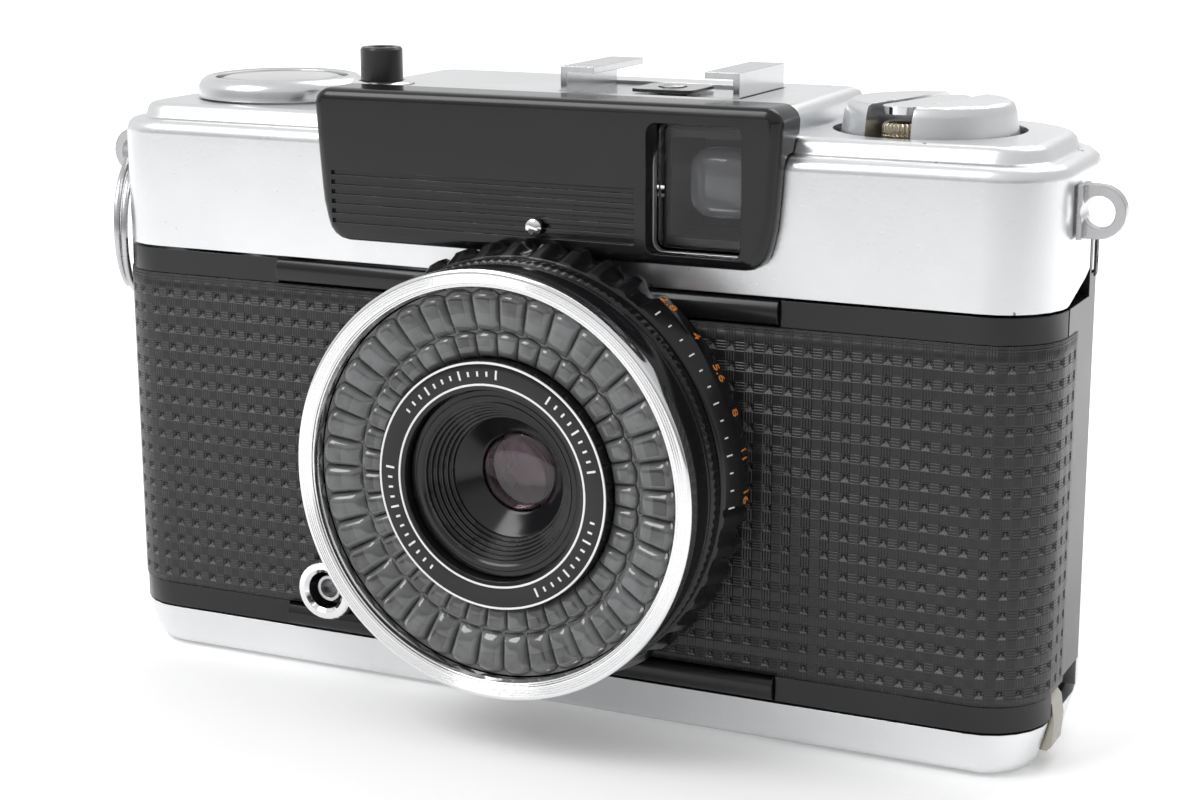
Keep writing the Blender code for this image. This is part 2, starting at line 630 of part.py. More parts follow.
def make_transport():
    spool = [(8.0, 7.4), (8.0, 8.2), (5.4, 8.4), (5.4, 44.6), (8.0, 44.8), (8.0, 45.6), (1.8, 45.8), (1.8, 55.4)]
    spool_obj = turned("take_up_spool", spool, TAKE_UP, "black_plastic", segments=24, origin=(*TAKE_UP, 7.4))
    carve(spool_obj, box("cut_film_slot", (TAKE_UP[0] - 0.6, TAKE_UP[0] + 0.6), (-20, 20), (12, 41)))
    wheel = [(2.4, 56.0), (12.4, 56.0), (12.7, 56.3), (12.7, 59.1), (12.4, 59.4), (2.4, 59.4), (1.6, 59.9)]
    turned("thumb_wheel", wheel, TAKE_UP, "black_plastic", segments=48, origin=(*TAKE_UP, 56.0))
    gear = sprocket_loops()
    loft("film_sprocket", gear, "steel", origin=(*SPROCKET, FILM_LOW))


def sprocket_loops():
    """Eight-tooth sprocket rims at both film edges on one turned core."""
    teeth = 8
    points = teeth * 4

    def loop(z, core, tooth):
        ring = []
        for i in range(points):
            radius = tooth if i % 4 in (0, 1) else core
            angle = 2 * math.pi * (i // 4 + (0.0, 0.12, 0.34, 0.78)[i % 4]) / teeth
            ring.append((SPROCKET[0] + radius * math.cos(angle), SPROCKET[1] + radius * math.sin(angle), z))
        return ring

    rim = SPROCKET_R
    tip = SPROCKET_R + 1.0
    low = LENS_Z - 14.2
    high = LENS_Z + 14.2
    levels = [(7.6, 1.6, 1.6), (FILM_LOW, 1.6, 1.6), (FILM_LOW, rim, rim)]
    levels += [(low - 1.0, rim, rim), (low - 0.9, rim, tip), (low + 0.9, rim, tip), (low + 1.0, rim, rim)]
    levels += [(low + 2.4, rim, rim), (low + 2.6, 4.6, 4.6), (high - 2.6, 4.6, 4.6), (high - 2.4, rim, rim)]
    levels += [(high - 1.0, rim, rim), (high - 0.9, rim, tip), (high + 0.9, rim, tip), (high + 1.0, rim, rim)]
    levels += [(FILM_HIGH, rim, rim), (FILM_HIGH, 1.6, 1.6), (49.2, 1.6, 1.6)]
    return [loop(z, core, tooth) for z, core, tooth in levels]


# Back door

def make_door():
    origin = (*HINGE, 29.3)
    door = slab("back_door", band(back_path, 0.0, DOOR_WALL, DOOR_TOP_SIDE_Y), DOOR_LOW, DOOR_HIGH,
                "satin_chrome", origin=origin)
    recess = slab("cut_door_recess", band(back_path, -3.0, 0.75, DOOR_SIDE_Y + 1.4), SKIN_LOW, DOOR_STEP_Z,
                  "satin_chrome")
    top_recess = slab("cut_door_top_recess", band(back_path, -3.0, 0.75, DOOR_TOP_SIDE_Y + 0.7),
                      DOOR_STEP_Z - 0.5, DOOR_HIGH - 0.7, "satin_chrome")
    carve(door, recess, top_recess,
          box("cut_door_step", (50, 60), (-5, DOOR_SIDE_Y), (0, DOOR_STEP_Z)),
          box("cut_door_hinge", (-60, -45), (-5, HINGE[1] + KNUCKLE_R + 0.35), (0, 60)))
    weld(door,
         cylinder("add_door_knuckle", KNUCKLE_R, HINGE, *HINGE_SPLIT, segments=16),
         box("add_door_web", (HINGE[0] + 0.3, HINGE[0] + 2.0), (HINGE[1] + 0.3, HINGE[1] + 2.3), HINGE_SPLIT),
         box("add_door_root", (HINGE[0] + 0.9, HINGE[0] + 2.6), (HINGE[1] + 1.9, HINGE[1] + 2.5), HINGE_SPLIT))
    carve(door, cylinder("cut_door_pin", 0.85, HINGE, 0, 60, segments=12))
    skin = slab("leatherette_back", band(back_path, 0.05, 0.5, DOOR_TOP_SIDE_Y + 0.9), SKIN_LOW + GAP,
                DOOR_HIGH - 0.95, "leatherette", origin=origin)
    carve(skin,
          box("cut_skin_step", (50, 60), (-5, DOOR_SIDE_Y + 1.6), (0, DOOR_STEP_Z - 0.3)),
          box("cut_skin_hinge", (-60, -45), (-5, HINGE[1] + 2.8), (0, 60)))
    cylinder("hinge_pin", 0.55, HINGE, 5.9, 52.6, segments=12, mat="steel")
    plate_y = GATE_Y + 0.75
    plate = rounded_rect(LENS_X - 13, LENS_X + 13, LENS_Z - 17, LENS_Z + 17, 2, 2, 3)
    slab("pressure_plate", plate, plate_y, plate_y + 0.9, "black_paint", "Y",
         origin=(LENS_X, plate_y, LENS_Z))
    make_pressure_spring()


def make_pressure_spring():
    """Bowed leaf: its ends lie on the door and its middle stands off towards the plate."""
    thickness = 0.35
    near = BACK_Y - DOOR_WALL - 0.3
    top = []
    for i in range(13):
        t = -1 + i / 6
        top.append((LENS_X + 12 * t, near - thickness - 0.65 * (1 - t * t)))
    bottom = [(x, y + thickness) for x, y in reversed(top)]
    slab("pressure_spring", top + bottom, LENS_Z - 4, LENS_Z + 4, "steel")


# Latch

def make_latch():
    channel = HALF_WIDTH - 1.6
    x0 = channel + 0.2
    bar = box("latch_bar", (x0, x0 + 0.6), (-8.1, -4.3), (3.2, 47.0), "bright_chrome",
              origin=(x0, -6.2, 3.2))
    catch = [(x0, 1.6), (x0 + 1.0, 1.5), (x0 + 1.5, 2.0), (x0 + 1.7, 4.6), (x0 + 1.4, 6.6), (x0 + 0.6, 7.6),
             (x0, 7.6)]
    loops = [[(x, y, z) for x, z in catch] for y in (-8.1, -4.3)]
    weld(bar, loft("add_catch", loops, "bright_chrome"))
    cover_outline = [(x0 + 0.85, SIDE_END_Y + 0.5), (HALF_WIDTH, SIDE_END_Y + 0.5),
                     (HALF_WIDTH, DOOR_SIDE_Y - GAP), (channel + 0.2, DOOR_SIDE_Y - GAP),
                     (channel + 0.2, -4.0), (x0 + 0.85, -4.0)]
    rail = slab("latch_cover", cover_outline, 8.4, CASTING_TOP, "casting_paint")
    flank = (channel + 0.2, HALF_WIDTH)
    front = COVER_STEP_Y + GAP
    weld(rail,
         box("add_rail_top", flank, (front, DOOR_SIDE_Y - GAP), (46.0, DOOR_STEP_Z - GAP)),
         box("add_rail_tip", flank, (front, DOOR_TOP_SIDE_Y - GAP), (46.0, 53.3)))


# Lens and meter

def lens_turned(name, profile, mat, segments=40, ring=True, origin_y=-20.0):
    return turned(name, profile, (LENS_X, LENS_Z), mat, "Y", segments, ring, (LENS_X, origin_y, LENS_Z))


def make_lens():
    spigot = LENS_SPIGOT_R
    barrel = [(spigot, -12.9), (spigot, -15.65), (20.5, -15.65), (20.5, -17.6), (20.2, -17.6), (20.2, -28.4),
              (19.6, -28.4), (19.6, -26.0), (13.3, -26.0), (13.3, -27.6), (11.2, -27.6), (11.2, -24.6),
              (17.2, -24.6), (17.2, -17.0), (13.0, -17.0), (13.0, -12.9)]
    lens_turned("lens_barrel", barrel, "black_paint", 48)
    cell = [(10.9, -27.5), (10.9, -21.4), (9.0, -20.6), (9.0, -14.8), (4.7, -14.8), (4.7, -20.6),
            (3.4, -20.9), (3.4, -21.4), (4.6, -21.7), (4.6, -23.4), (6.3, -25.8), (8.5, -28.5), (9.7, -28.5),
            (9.7, -27.5)]
    lens_turned("lens_cell", cell, "black_paint", 40)
    lens_turned("name_ring", [(9.9, -27.85), (12.95, -27.85), (12.95, -29.4), (12.7, -29.65), (10.1, -29.65)],
                "black_paint", 48)
    lens_turned("front_element", [(3.0, -21.9), (4.35, -22.2), (4.35, -23.0), (3.4, -23.5), (1.8, -23.8)],
                "optical_glass", 24, False)
    lens_turned("middle_element", [(4.3, -18.6), (4.3, -20.2), (2.4, -19.7)], "optical_glass", 20, False)
    lens_turned("rear_element", [(2.4, -15.0), (4.3, -15.4), (4.3, -17.6), (2.4, -17.9)], "optical_glass", 20,
                False)
    lens_turned("selenium_cell", [(13.7, -26.3), (19.2, -26.3), (19.2, -26.9), (13.7, -26.9)], "selenium", 40)
    cover = [(13.35, -27.2), (19.3, -27.2), (19.3, -28.6), (20.1, -28.6), (20.1, -29.3), (19.4, -29.7),
             (13.9, -28.9), (13.35, -28.5)]
    lens_turned("cell_lens", cover, "clear_plastic", 48)
    bezel = [(20.3, -28.75), (22.2, -28.75), (22.3, -28.95), (22.3, -30.15), (22.1, -30.4), (21.8, -30.5),
             (21.1, -30.5), (20.6, -30.2), (20.3, -29.7)]
    lens_turned("chrome_bezel", bezel, "bright_chrome", 64)
    speed = [(20.5, -23.0), (22.3, -23.0), (22.3, -24.2), (21.9, -24.3), (21.9, -28.3), (21.7, -28.45),
             (20.5, -28.45)]
    lens_turned("speed_ring", speed, "black_paint", 56, origin_y=-23.0)
    aperture = [(20.8, -17.95), (23.4, -17.95), (23.4, -20.9), (22.5, -22.5), (22.2, -22.7), (20.5, -22.7)]
    lens_turned("aperture_ring", aperture, "black_paint", 56, origin_y=-17.95)


def make_sync():
    collar = [(2.1, -16.0), (3.45, -16.0), (3.45, -18.1), (3.2, -18.5), (2.5, -18.6), (2.1, -18.2)]
    turned("sync_socket", collar, SYNC, "bright_chrome", "Y", 28, True)
    contact = [(0.5, -14.6), (1.45, -14.6), (1.45, -17.4), (1.1, -17.4), (1.1, -15.2), (0.5, -15.2)]
    turned("sync_contact", contact, SYNC, "brass", "Y", 20, True)


PLATE_R = 16.8
BLADE_Y = {"shutter_blade_a": -9.9, "shutter_blade_b": -10.5, "aperture_blade_a": -11.1, "aperture_blade_b": -11.7}
BLADE_PIVOT = {"shutter_blade_a": (-2.3, 12.0), "shutter_blade_b": (2.3, 12.0),
               "aperture_blade_a": (-6.6, -10.6), "aperture_blade_b": (6.6, -10.6)}


def make_shutter():
    cup = [(5.4, -8.2), (PLATE_R, -8.2), (PLATE_R, -12.5), (15.9, -12.5), (15.9, -9.2), (5.4, -9.2)]
    plate = turned("shutter_plate", cup, (LENS_X, LENS_Z), "black_paint", "Y", 40, True)
    for name, (px, pz) in BLADE_PIVOT.items():
        weld(plate, cylinder("add_post_" + name, 0.6, (LENS_X + px, LENS_Z + pz), -12.3, -8.8, "Y", 10))
    for name, y in BLADE_Y.items():
        outline = shutter_outline() if name.startswith("shutter") else aperture_outline()
        mirror = -1 if name.endswith("b") else 1
        pivot = BLADE_PIVOT[name]
        centre = (LENS_X + pivot[0], LENS_Z + pivot[1])
        points = [(LENS_X + mirror * x, LENS_Z + z) for x, z in outline]
        blade = slab(name, points, y - 0.15, y + 0.15, "steel", "Y", origin=(centre[0], y, centre[1]))
        carve(blade, cylinder("cut_hole_" + name, 0.95, centre, -14, -7, "Y", 12))


def shutter_outline():
    px, pz = BLADE_PIVOT["shutter_blade_a"]
    lug = arc(px, pz, 2.1, 0, 180, 8)
    return lug + [(px - 3.1, pz - 6), (px - 3.1, -5.3), (px + 3.1, -5.3), (px + 3.1, pz - 6)]


def aperture_outline():
    px, pz = BLADE_PIVOT["aperture_blade_a"]
    lug = arc(px, pz, 2.1, 180, 360, 8)
    near = -4.9
    return lug + [(near, -5.2), (near, -1.3), (near - 1.3, 0), (near, 1.3), (near, 5.0), (-9.6, 5.0), (-9.6, -5.2)]


def make_meter():
    place = (-8.0, -3.0)
    can = [(6.0, 48.0), (6.0, 55.6), (5.2, 56.2), (1.2, 56.2), (0.7, 57.0)]
    turned("galvanometer", can, place, "steel", segments=28)
    x, y = place
    outline = [(x - 1.3, y + 3.0), (x + 1.3, y + 3.0), (x + 1.3, y - 1.0), (x + 0.35, y - 2.0),
               (x + 0.2, y - 7.6), (x - 0.2, y - 7.6), (x - 0.35, y - 2.0), (x - 1.3, y - 1.0)]
    slab("meter_needle", outline, 57.4, 57.8, "steel", origin=(x, y, 57.4))


# Strap fittings

def make_lugs():
    for name, side in (("strap_lug_left", -1), ("strap_lug_right", 1)):
        flange_x = HALF_WIDTH + 0.2
        points = [(flange_x + 0.1, LUG_Z - LUG_R)] + arc(LUG_X, LUG_Z, LUG_R, -90, 90, 10)
        points += [(flange_x + 0.1, LUG_Z + LUG_R)]
        outline = [(side * px, pz) for px, pz in points]
        lug = slab(name, outline, LUG_Y - 0.65, LUG_Y + 0.65, "bright_chrome", "Y")
        xs = sorted((side * flange_x, side * (flange_x + 0.5)))
        weld(lug, box("add_flange_" + name, xs, (LUG_Y - 1.7, LUG_Y + 1.7), (LUG_Z - LUG_R, LUG_Z + LUG_R)))
        carve(lug, cylinder("cut_hole_" + name, LUG_HOLE_R, (side * LUG_X, LUG_Z), -12, 0, "Y", 24))


RING_R = 7.8
RING_WIRE = (0.45, 0.6)


RING_LEAN = math.radians(20)


def make_split_ring():
    """Ring through the left lug's hole, leaning in towards the rounded front corner."""
    hole = (-LUG_X, LUG_Y, LUG_Z)
    radial, across = RING_WIRE
    centre_z = LUG_Z - 0.75 - RING_R
    loops = []
    for i in range(40):
        angle = 2 * math.pi * i / 40
        loop = []
        for j in range(8):
            tube = 2 * math.pi * j / 8
            reach = RING_R + radial * math.cos(tube)
            side = across * math.sin(tube)
            back = reach * math.sin(angle)
            loop.append((hole[0] + side * math.cos(RING_LEAN) - back * math.sin(RING_LEAN),
                         hole[1] + side * math.sin(RING_LEAN) + back * math.cos(RING_LEAN),
                         centre_z + reach * math.cos(angle)))
        loops.append(loop)
    loft("split_ring", loops, "bright_chrome", origin=hole, ring=True)


def build():
    clear_scene()
    make_casting()
    make_front_plate()
    make_front_skin()
    make_film_gate()
    make_base()
    make_cover()
    make_name_plate()
    make_finder()
    make_shutter_button()
    make_counter()
    make_shoe()
    make_rewind()
    make_transport()
    make_door()
    make_latch()
    make_lens()
    make_sync()
    make_shutter()
    make_meter()
    make_lugs()
    make_split_ring()


build()
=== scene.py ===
"""Looks for the half frame camera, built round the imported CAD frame.

Sizes below are in millimetres in the CAD frame and become metres when a mesh is made.
"""
import json
import math

import bmesh
import bpy
from mathutils import Matrix, Vector


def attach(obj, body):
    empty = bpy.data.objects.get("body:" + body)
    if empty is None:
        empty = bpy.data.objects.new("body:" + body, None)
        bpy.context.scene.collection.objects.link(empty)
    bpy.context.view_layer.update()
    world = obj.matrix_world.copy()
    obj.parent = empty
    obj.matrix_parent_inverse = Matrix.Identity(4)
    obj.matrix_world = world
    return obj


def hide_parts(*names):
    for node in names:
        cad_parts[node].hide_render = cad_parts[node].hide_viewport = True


MM = 0.001

# The body in plan: half its width, its front and back faces and its corner radii
HALF_WIDTH = 54.65
FRONT_Y, BACK_Y = -15.5, 14.0
FRONT_R, BACK_R = 7.0, 13.0

# Centres of the parts: x and z, but x and y for the cassette, and all three for the lug
LENS = (2.0, 28.8)
FINDER = (18.7, 58.0)
SYNC = (-25.15, 10.8)
CASSETTE = (37.6, -0.4)
LUG = (-56.75, -6.2, 56.9)

# Crank: its direction in degrees, how far out its handle stands, the handle's radius and its teeth
CRANK_ANGLE = 258.0
HANDLE_OUT = 5.6
HANDLE_R = 1.96
HANDLE_TEETH = 26

# Leather: pitch of the pressed squares, their share of the pitch, their depth and the ruled lines
# in one pitch. It stands proud of the CAD skin, and both sheets stop short where a part needs it.
PITCH = 2.07
PRESS = 0.48
PRESS_DEPTH = 0.34
RULED_LINES = 7
PROUD = 0.1
FRONT_SKIN_Z = (8.0, 44.6)
BACK_SKIN_Z = (8.3, 53.2)
SKIN_LEFT_Y, SKIN_RIGHT_Y = 0.6, -4.6
SKIN_LENS_R, SKIN_SYNC_R = 18.0, 3.4
FRONT_SKIN_THICK, BACK_SKIN_THICK = 0.6, 0.4
DOOR_STEP = (50, 5.6, 49.4)

# Moulded lenslets over the light cell: how many in a row, and for each row its inner and outer
# radius, its turn in lenslets, its level at both radii and the height of the domes
LENSLETS = 39
LENSLET_ROWS = ((13.0, 15.75, 0.15, -27.9, -28.25, 0.75),
                (15.75, 20.12, 0.0, -28.15, -28.75, 0.95))

# Aperture ring: groups of grips from one angle to another, the angle between grips, their depth
# and the numerals
GRIPS = ((52, 128), (172, 250), (302, 356))
GRIP_PITCH = 8.4
GRIP_DEPTH = 0.75
APERTURES = ("16", "11", "8", "5.6", "4", "2.8")

# Name ring: groups of ticks as their first angle and their number, and the angle between ticks
TICK_GROUPS = ((86, 12), (14, 9), (296, 11), (176, 12))
TICK_PITCH = 5.2

# Black on two chrome pieces: black paint on the door inside this plane, and painted shade in the well
# under the crank
DOOR_INSIDE_Y = 12.9
DOOR_INSIDE_HALF = 51.5
KNOB_SHADE_R = 8.3
KNOB_SHADE_TOP = 4.2

# Split ring: mean radius, lean and turn at which its first coil starts
SPLIT_RING_R = 7.8
SPLIT_RING_LEAN = 20
SPLIT_RING_START = 215

# Camera in metres and degrees, and lights as name, place, size and power
CAMERA_AZIMUTH, CAMERA_ELEVATION, CAMERA_ROLL = 25.343, 13.402, -0.155
CAMERA_DISTANCE = 0.259906
CAMERA_TARGET = (0.000178, 0.0, 0.03118)
CAMERA_LENS = 69.76
LIGHTS = (("key", (-0.30, -0.38, 0.55), 0.36, 2.2),
          ("back", (0.10, 0.45, 0.60), 0.45, 1.6))

# Angle, in degrees, past which a node's shading is split into an edge
EDGE_ANGLE = 35
SOFT_EDGE_ANGLES = {"top_cover": 62, "base_plate": 50, "rewind_knob": 50, "name_plate": 50,
                    "counter_bezel": 62}

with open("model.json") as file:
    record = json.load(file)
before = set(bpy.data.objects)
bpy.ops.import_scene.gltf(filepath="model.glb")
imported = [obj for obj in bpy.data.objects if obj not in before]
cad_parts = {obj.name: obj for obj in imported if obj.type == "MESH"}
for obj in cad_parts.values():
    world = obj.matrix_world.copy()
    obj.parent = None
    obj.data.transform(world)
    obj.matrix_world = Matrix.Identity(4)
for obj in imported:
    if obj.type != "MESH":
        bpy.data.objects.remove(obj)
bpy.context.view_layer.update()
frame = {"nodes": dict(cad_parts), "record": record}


# Shader helpers

def new_material(name, colour, roughness, metallic=0.0, **sockets):
    made = bpy.data.materials.new(name)
    made.use_nodes = True
    shader = made.node_tree.nodes["Principled BSDF"]
    shader.inputs["Base Color"].default_value = (*colour, 1.0)
    shader.inputs["Roughness"].default_value = roughness
    shader.inputs["Metallic"].default_value = metallic
    for key, value in sockets.items():
        shader.inputs[key.replace("_", " ")].default_value = value
    return made


class Graph:
    """Small wrapper that makes the node tree of a material or a world readable."""

    def __init__(self, owner):
        self.tree = owner.node_tree
        self.shader = self.tree.nodes.get("Principled BSDF")

    def add(self, kind, **settings):
        node = self.tree.nodes.new(kind)
        for key, value in settings.items():
            setattr(node, key, value)
        return node

    def feed(self, socket, value):
        if hasattr(value, "is_output"):
            self.tree.links.new(value, socket)
        else:
            socket.default_value = value

    def math(self, operation, *values):
        node = self.add("ShaderNodeMath", operation=operation)
        for socket, value in zip(node.inputs, values):
            self.feed(socket, value)
        return node.outputs[0]

    def coordinate(self, kind="Object"):
        return self.add("ShaderNodeTexCoord").outputs[kind]

    def axes(self, source):
        node = self.add("ShaderNodeSeparateXYZ")
        self.feed(node.inputs[0], source)
        return node.outputs

    def noise(self, scale, detail=3.0, stretch=(1, 1, 1)):
        mapping = self.add("ShaderNodeMapping")
        mapping.inputs["Scale"].default_value = stretch
        self.feed(mapping.inputs["Vector"], self.coordinate())
        node = self.add("ShaderNodeTexNoise")
        node.inputs["Scale"].default_value = scale
        node.inputs["Detail"].default_value = detail
        self.feed(node.inputs["Vector"], mapping.outputs["Vector"])
        return node.outputs["Fac"]

    def ramp(self, factor, low, high, position=(0.0, 1.0)):
        node = self.add("ShaderNodeValToRGB")
        for element, place, value in zip(node.color_ramp.elements, position, (low, high)):
            element.position = place
            element.color = (*value, 1.0)
        self.feed(node.inputs["Fac"], factor)
        return node.outputs["Color"]

    def mix(self, factor, first, second, blend="MIX"):
        node = self.add("ShaderNodeMix", data_type="RGBA", blend_type=blend)
        self.feed(node.inputs["Factor"], factor)
        for socket, value in ((node.inputs[6], first), (node.inputs[7], second)):
            self.feed(socket, (*value, 1.0) if isinstance(value, tuple) else value)
        return node.outputs[2]

    def colour(self, socket):
        self.feed(self.shader.inputs["Base Color"], socket)

    def roughness(self, factor, low, high):
        spread = self.math("MULTIPLY", factor, high - low)
        self.feed(self.shader.inputs["Roughness"], self.math("ADD", spread, low))

    def soft_edge(self, radius):
        """Rounds sharp edges in the shading by a radius in millimetres."""
        node = self.add("ShaderNodeBevel")
        node.samples = 4
        node.inputs["Radius"].default_value = radius * MM
        return node.outputs["Normal"]

    def edge_mask(self, soft, gain=4.0):
        """One where a softened normal leaves the true one, so along edges."""
        node = self.add("ShaderNodeVectorMath", operation="DOT_PRODUCT")
        self.feed(node.inputs[0], soft)
        self.feed(node.inputs[1], self.add("ShaderNodeNewGeometry").outputs["Normal"])
        away = self.math("SUBTRACT", 1.0, node.outputs["Value"])
        return self.math("MINIMUM", self.math("MULTIPLY", away, gain), 1.0)

    def bump(self, height, distance, strength=1.0, normal=None):
        node = self.add("ShaderNodeBump")
        node.inputs["Strength"].default_value = strength
        node.inputs["Distance"].default_value = distance * MM
        self.feed(node.inputs["Height"], height)
        if normal is not None:
            self.feed(node.inputs["Normal"], normal)
        self.feed(self.shader.inputs["Normal"], node.outputs["Normal"])


def metal(name, colour, low, high, grain, depth, specks=False, stretch=(1, 1, 1), soft=0.12):
    """Metal of a roughness between low and high, with grain, paler edges and perhaps dark specks."""
    made = new_material(name, colour, (low + high) / 2, 1.0)
    graph = Graph(made)
    edge = graph.soft_edge(soft)
    fine = graph.noise(grain, 4.0, stretch)
    graph.roughness(fine, low, high)
    graph.bump(fine, depth, 0.6, edge)
    dark = tuple(c * 0.93 for c in colour)
    tone = graph.ramp(graph.noise(60, 4.0), dark, colour, (0.35, 0.6))
    if specks:
        spots = graph.ramp(graph.noise(430, 2.0), (0.25, 0.23, 0.2), (1.0, 1.0, 1.0), (0.228, 0.25))
        tone = graph.mix(1.0, tone, spots, "MULTIPLY")
    worn = graph.math("MULTIPLY", graph.edge_mask(edge, 2.0), 0.5)
    graph.colour(graph.mix(worn, tone, tuple(min(1.0, c * 1.1) for c in colour)))
    return made


def paint(name, colour, low, high, grain=900.0, depth=0.01, coat=0.0, level=0.5, worn=(0.16, 0.15, 0.13)):
    """Paint or plastic with dusty patches, rubbed here and there along its edges."""
    made = new_material(name, colour, (low + high) / 2, 0.0, Coat_Weight=coat, Coat_Roughness=0.06,
                        Specular_IOR_Level=level)
    graph = Graph(made)
    edge = graph.soft_edge(0.15)
    fine = graph.noise(grain, 3.0)
    graph.roughness(graph.noise(110, 4.0), low, high)
    graph.bump(fine, depth, 0.4, edge)
    dusty = tuple(min(c * 1.8 + 0.002, 1.0) for c in colour)
    tone = graph.ramp(graph.noise(75, 5.0), colour, dusty, (0.45, 0.85))
    patchy = graph.math("GREATER_THAN", graph.noise(240, 4.0), 0.56)
    rub = graph.math("MULTIPLY", graph.edge_mask(edge, 2.5), patchy)
    graph.colour(graph.mix(graph.math("MULTIPLY", rub, 0.7), tone, worn))
    return made


def clear(name, colour, roughness, transmission, ior=1.5):
    """Glass or clear plastic."""
    made = new_material(name, colour, roughness, 0.0, Transmission_Weight=transmission, IOR=ior)
    graph = Graph(made)
    graph.roughness(graph.noise(140, 3.0), roughness, roughness + 0.03)
    return made


def leatherette():
    """Black embossed sheet: fine ruled lines both ways, crossing between the pressed squares, with a
    painted highlight in patches on facets that face upwards.
    """
    made = new_material("leatherette_look", (0.02, 0.02, 0.02), 0.35, 0.0, Specular_IOR_Level=0.42)
    graph = Graph(made)
    along = graph.axes(graph.coordinate("UV"))
    lines = []
    for axis, share in (("X", 0.45), ("Y", 0.7)):
        phase = graph.math("FRACT", graph.math("DIVIDE", along[axis], PITCH))
        from_gap = graph.math("ABSOLUTE", graph.math("SUBTRACT", phase, 0.5))
        zone = graph.math("GREATER_THAN", from_gap, 0.5 - 0.29)
        wave = graph.math("COSINE", graph.math("MULTIPLY", phase, 2 * math.pi * RULED_LINES))
        low = graph.math("MULTIPLY", graph.math("ADD", wave, 1.0), 0.5 * share)
        lines.append(graph.math("MULTIPLY", low, zone))
    crossing = graph.math("ADD", lines[0], lines[1])
    grain = graph.noise(1700, 4.0)
    height = graph.math("ADD", crossing, graph.math("MULTIPLY", grain, 0.35))
    graph.bump(height, 0.09)
    tone = graph.ramp(height, (0.011, 0.011, 0.0115), (0.032, 0.032, 0.033), (0.1, 1.0))
    # Painted highlight: facets that face upwards, such as the lower facets of the pits, are made lighter
    # in patches.
    facing = graph.add("ShaderNodeNewGeometry").outputs["True Normal"]
    upward = graph.math("GREATER_THAN", graph.axes(facing)["Z"], 0.3)
    painted_highlight = graph.math("MULTIPLY", upward, graph.math("MULTIPLY", graph.noise(150, 2.0), 1.1))
    graph.colour(graph.mix(painted_highlight, tone, (0.17, 0.17, 0.172)))
    graph.roughness(graph.noise(900, 3.0), 0.26, 0.42)
    return made


def cell_plastic():
    """Moulded lenslets, with a painted highlight round their rims, painted shade along the seams between
    them and the dark cell showing in the middle.

    A lenslet's UVs run from -1 to 1 across it and outwards along it.
    """
    made = new_material("cell_lens_look", (0.1, 0.1, 0.1), 0.08, Coat_Weight=0.6, Coat_Roughness=0.03)
    graph = Graph(made)
    place = graph.axes(graph.coordinate("UV"))
    across = graph.math("ABSOLUTE", place["X"])
    # Painted highlight: each lenslet is paler round its rim.
    rim = graph.math("MAXIMUM", graph.math("SUBTRACT", across, 0.55),
                     graph.math("SUBTRACT", place["Y"], 0.62))
    rim = graph.math("GREATER_THAN", rim, 0.0)
    step = graph.math("GREATER_THAN", place["Y"], -0.1)
    centre = graph.mix(step, (0.085, 0.086, 0.088), (0.03, 0.03, 0.031))
    patches = graph.ramp(graph.noise(260, 3.0), (0.0, 0.0, 0.0), (1.0, 1.0, 1.0), (0.36, 0.64))
    cloudy = graph.mix(patches, centre, (0.125, 0.127, 0.13))
    tone = graph.mix(graph.math("MULTIPLY", rim, 0.55), cloudy, (0.145, 0.147, 0.15))
    # Painted shade along the seams between lenslets, where the grooves lie.
    painted_seam_shade = graph.math("MAXIMUM", graph.math("GREATER_THAN", across, 0.93),
                      graph.math("GREATER_THAN", graph.math("ABSOLUTE", place["Y"]), 0.95))
    graph.colour(graph.mix(graph.math("MULTIPLY", painted_seam_shade, 0.5), tone, (0.02, 0.02, 0.02)))
    graph.roughness(graph.noise(300, 3.0), 0.05, 0.16)
    return made


def door_look():
    """Satin chrome outside and black paint inside."""
    made = metal("door_look", (0.78, 0.79, 0.80), 0.26, 0.4, 2600, 0.012)
    graph = Graph(made)
    place = graph.axes(graph.coordinate())
    inside = graph.math("LESS_THAN", place["Y"], DOOR_INSIDE_Y * MM)
    deep = graph.math("LESS_THAN", graph.math("ABSOLUTE", place["X"]), DOOR_INSIDE_HALF * MM)
    black = graph.math("MULTIPLY", inside, deep)
    old = graph.shader.inputs["Base Color"].links[0].from_socket
    graph.colour(graph.mix(black, old, (0.014, 0.014, 0.015)))
    graph.feed(graph.shader.inputs["Metallic"], graph.math("SUBTRACT", 1.0, black))
    return made


def knob_look():
    """Satin chrome outside, with painted shade in the well below the crank: black there and not metallic.
    """
    made = metal("knob_look", (0.74, 0.75, 0.76), 0.26, 0.4, 2100, 0.03, True)
    graph = Graph(made)
    # Painted shade: the well under the crank is coloured black, standing in for the shadow in that recess.
    place = graph.axes(graph.coordinate())
    square = graph.math("ADD", graph.math("MULTIPLY", place["X"], place["X"]),
                        graph.math("MULTIPLY", place["Y"], place["Y"]))
    inside_painted_shade = graph.math("LESS_THAN", square, (KNOB_SHADE_R * MM) ** 2)
    below = graph.math("LESS_THAN", place["Z"], KNOB_SHADE_TOP * MM)
    black = graph.math("MULTIPLY", inside_painted_shade, below)
    old = graph.shader.inputs["Base Color"].links[0].from_socket
    graph.colour(graph.mix(black, old, (0.008, 0.008, 0.008)))
    graph.feed(graph.shader.inputs["Metallic"], graph.math("SUBTRACT", 1.0, black))
    return made


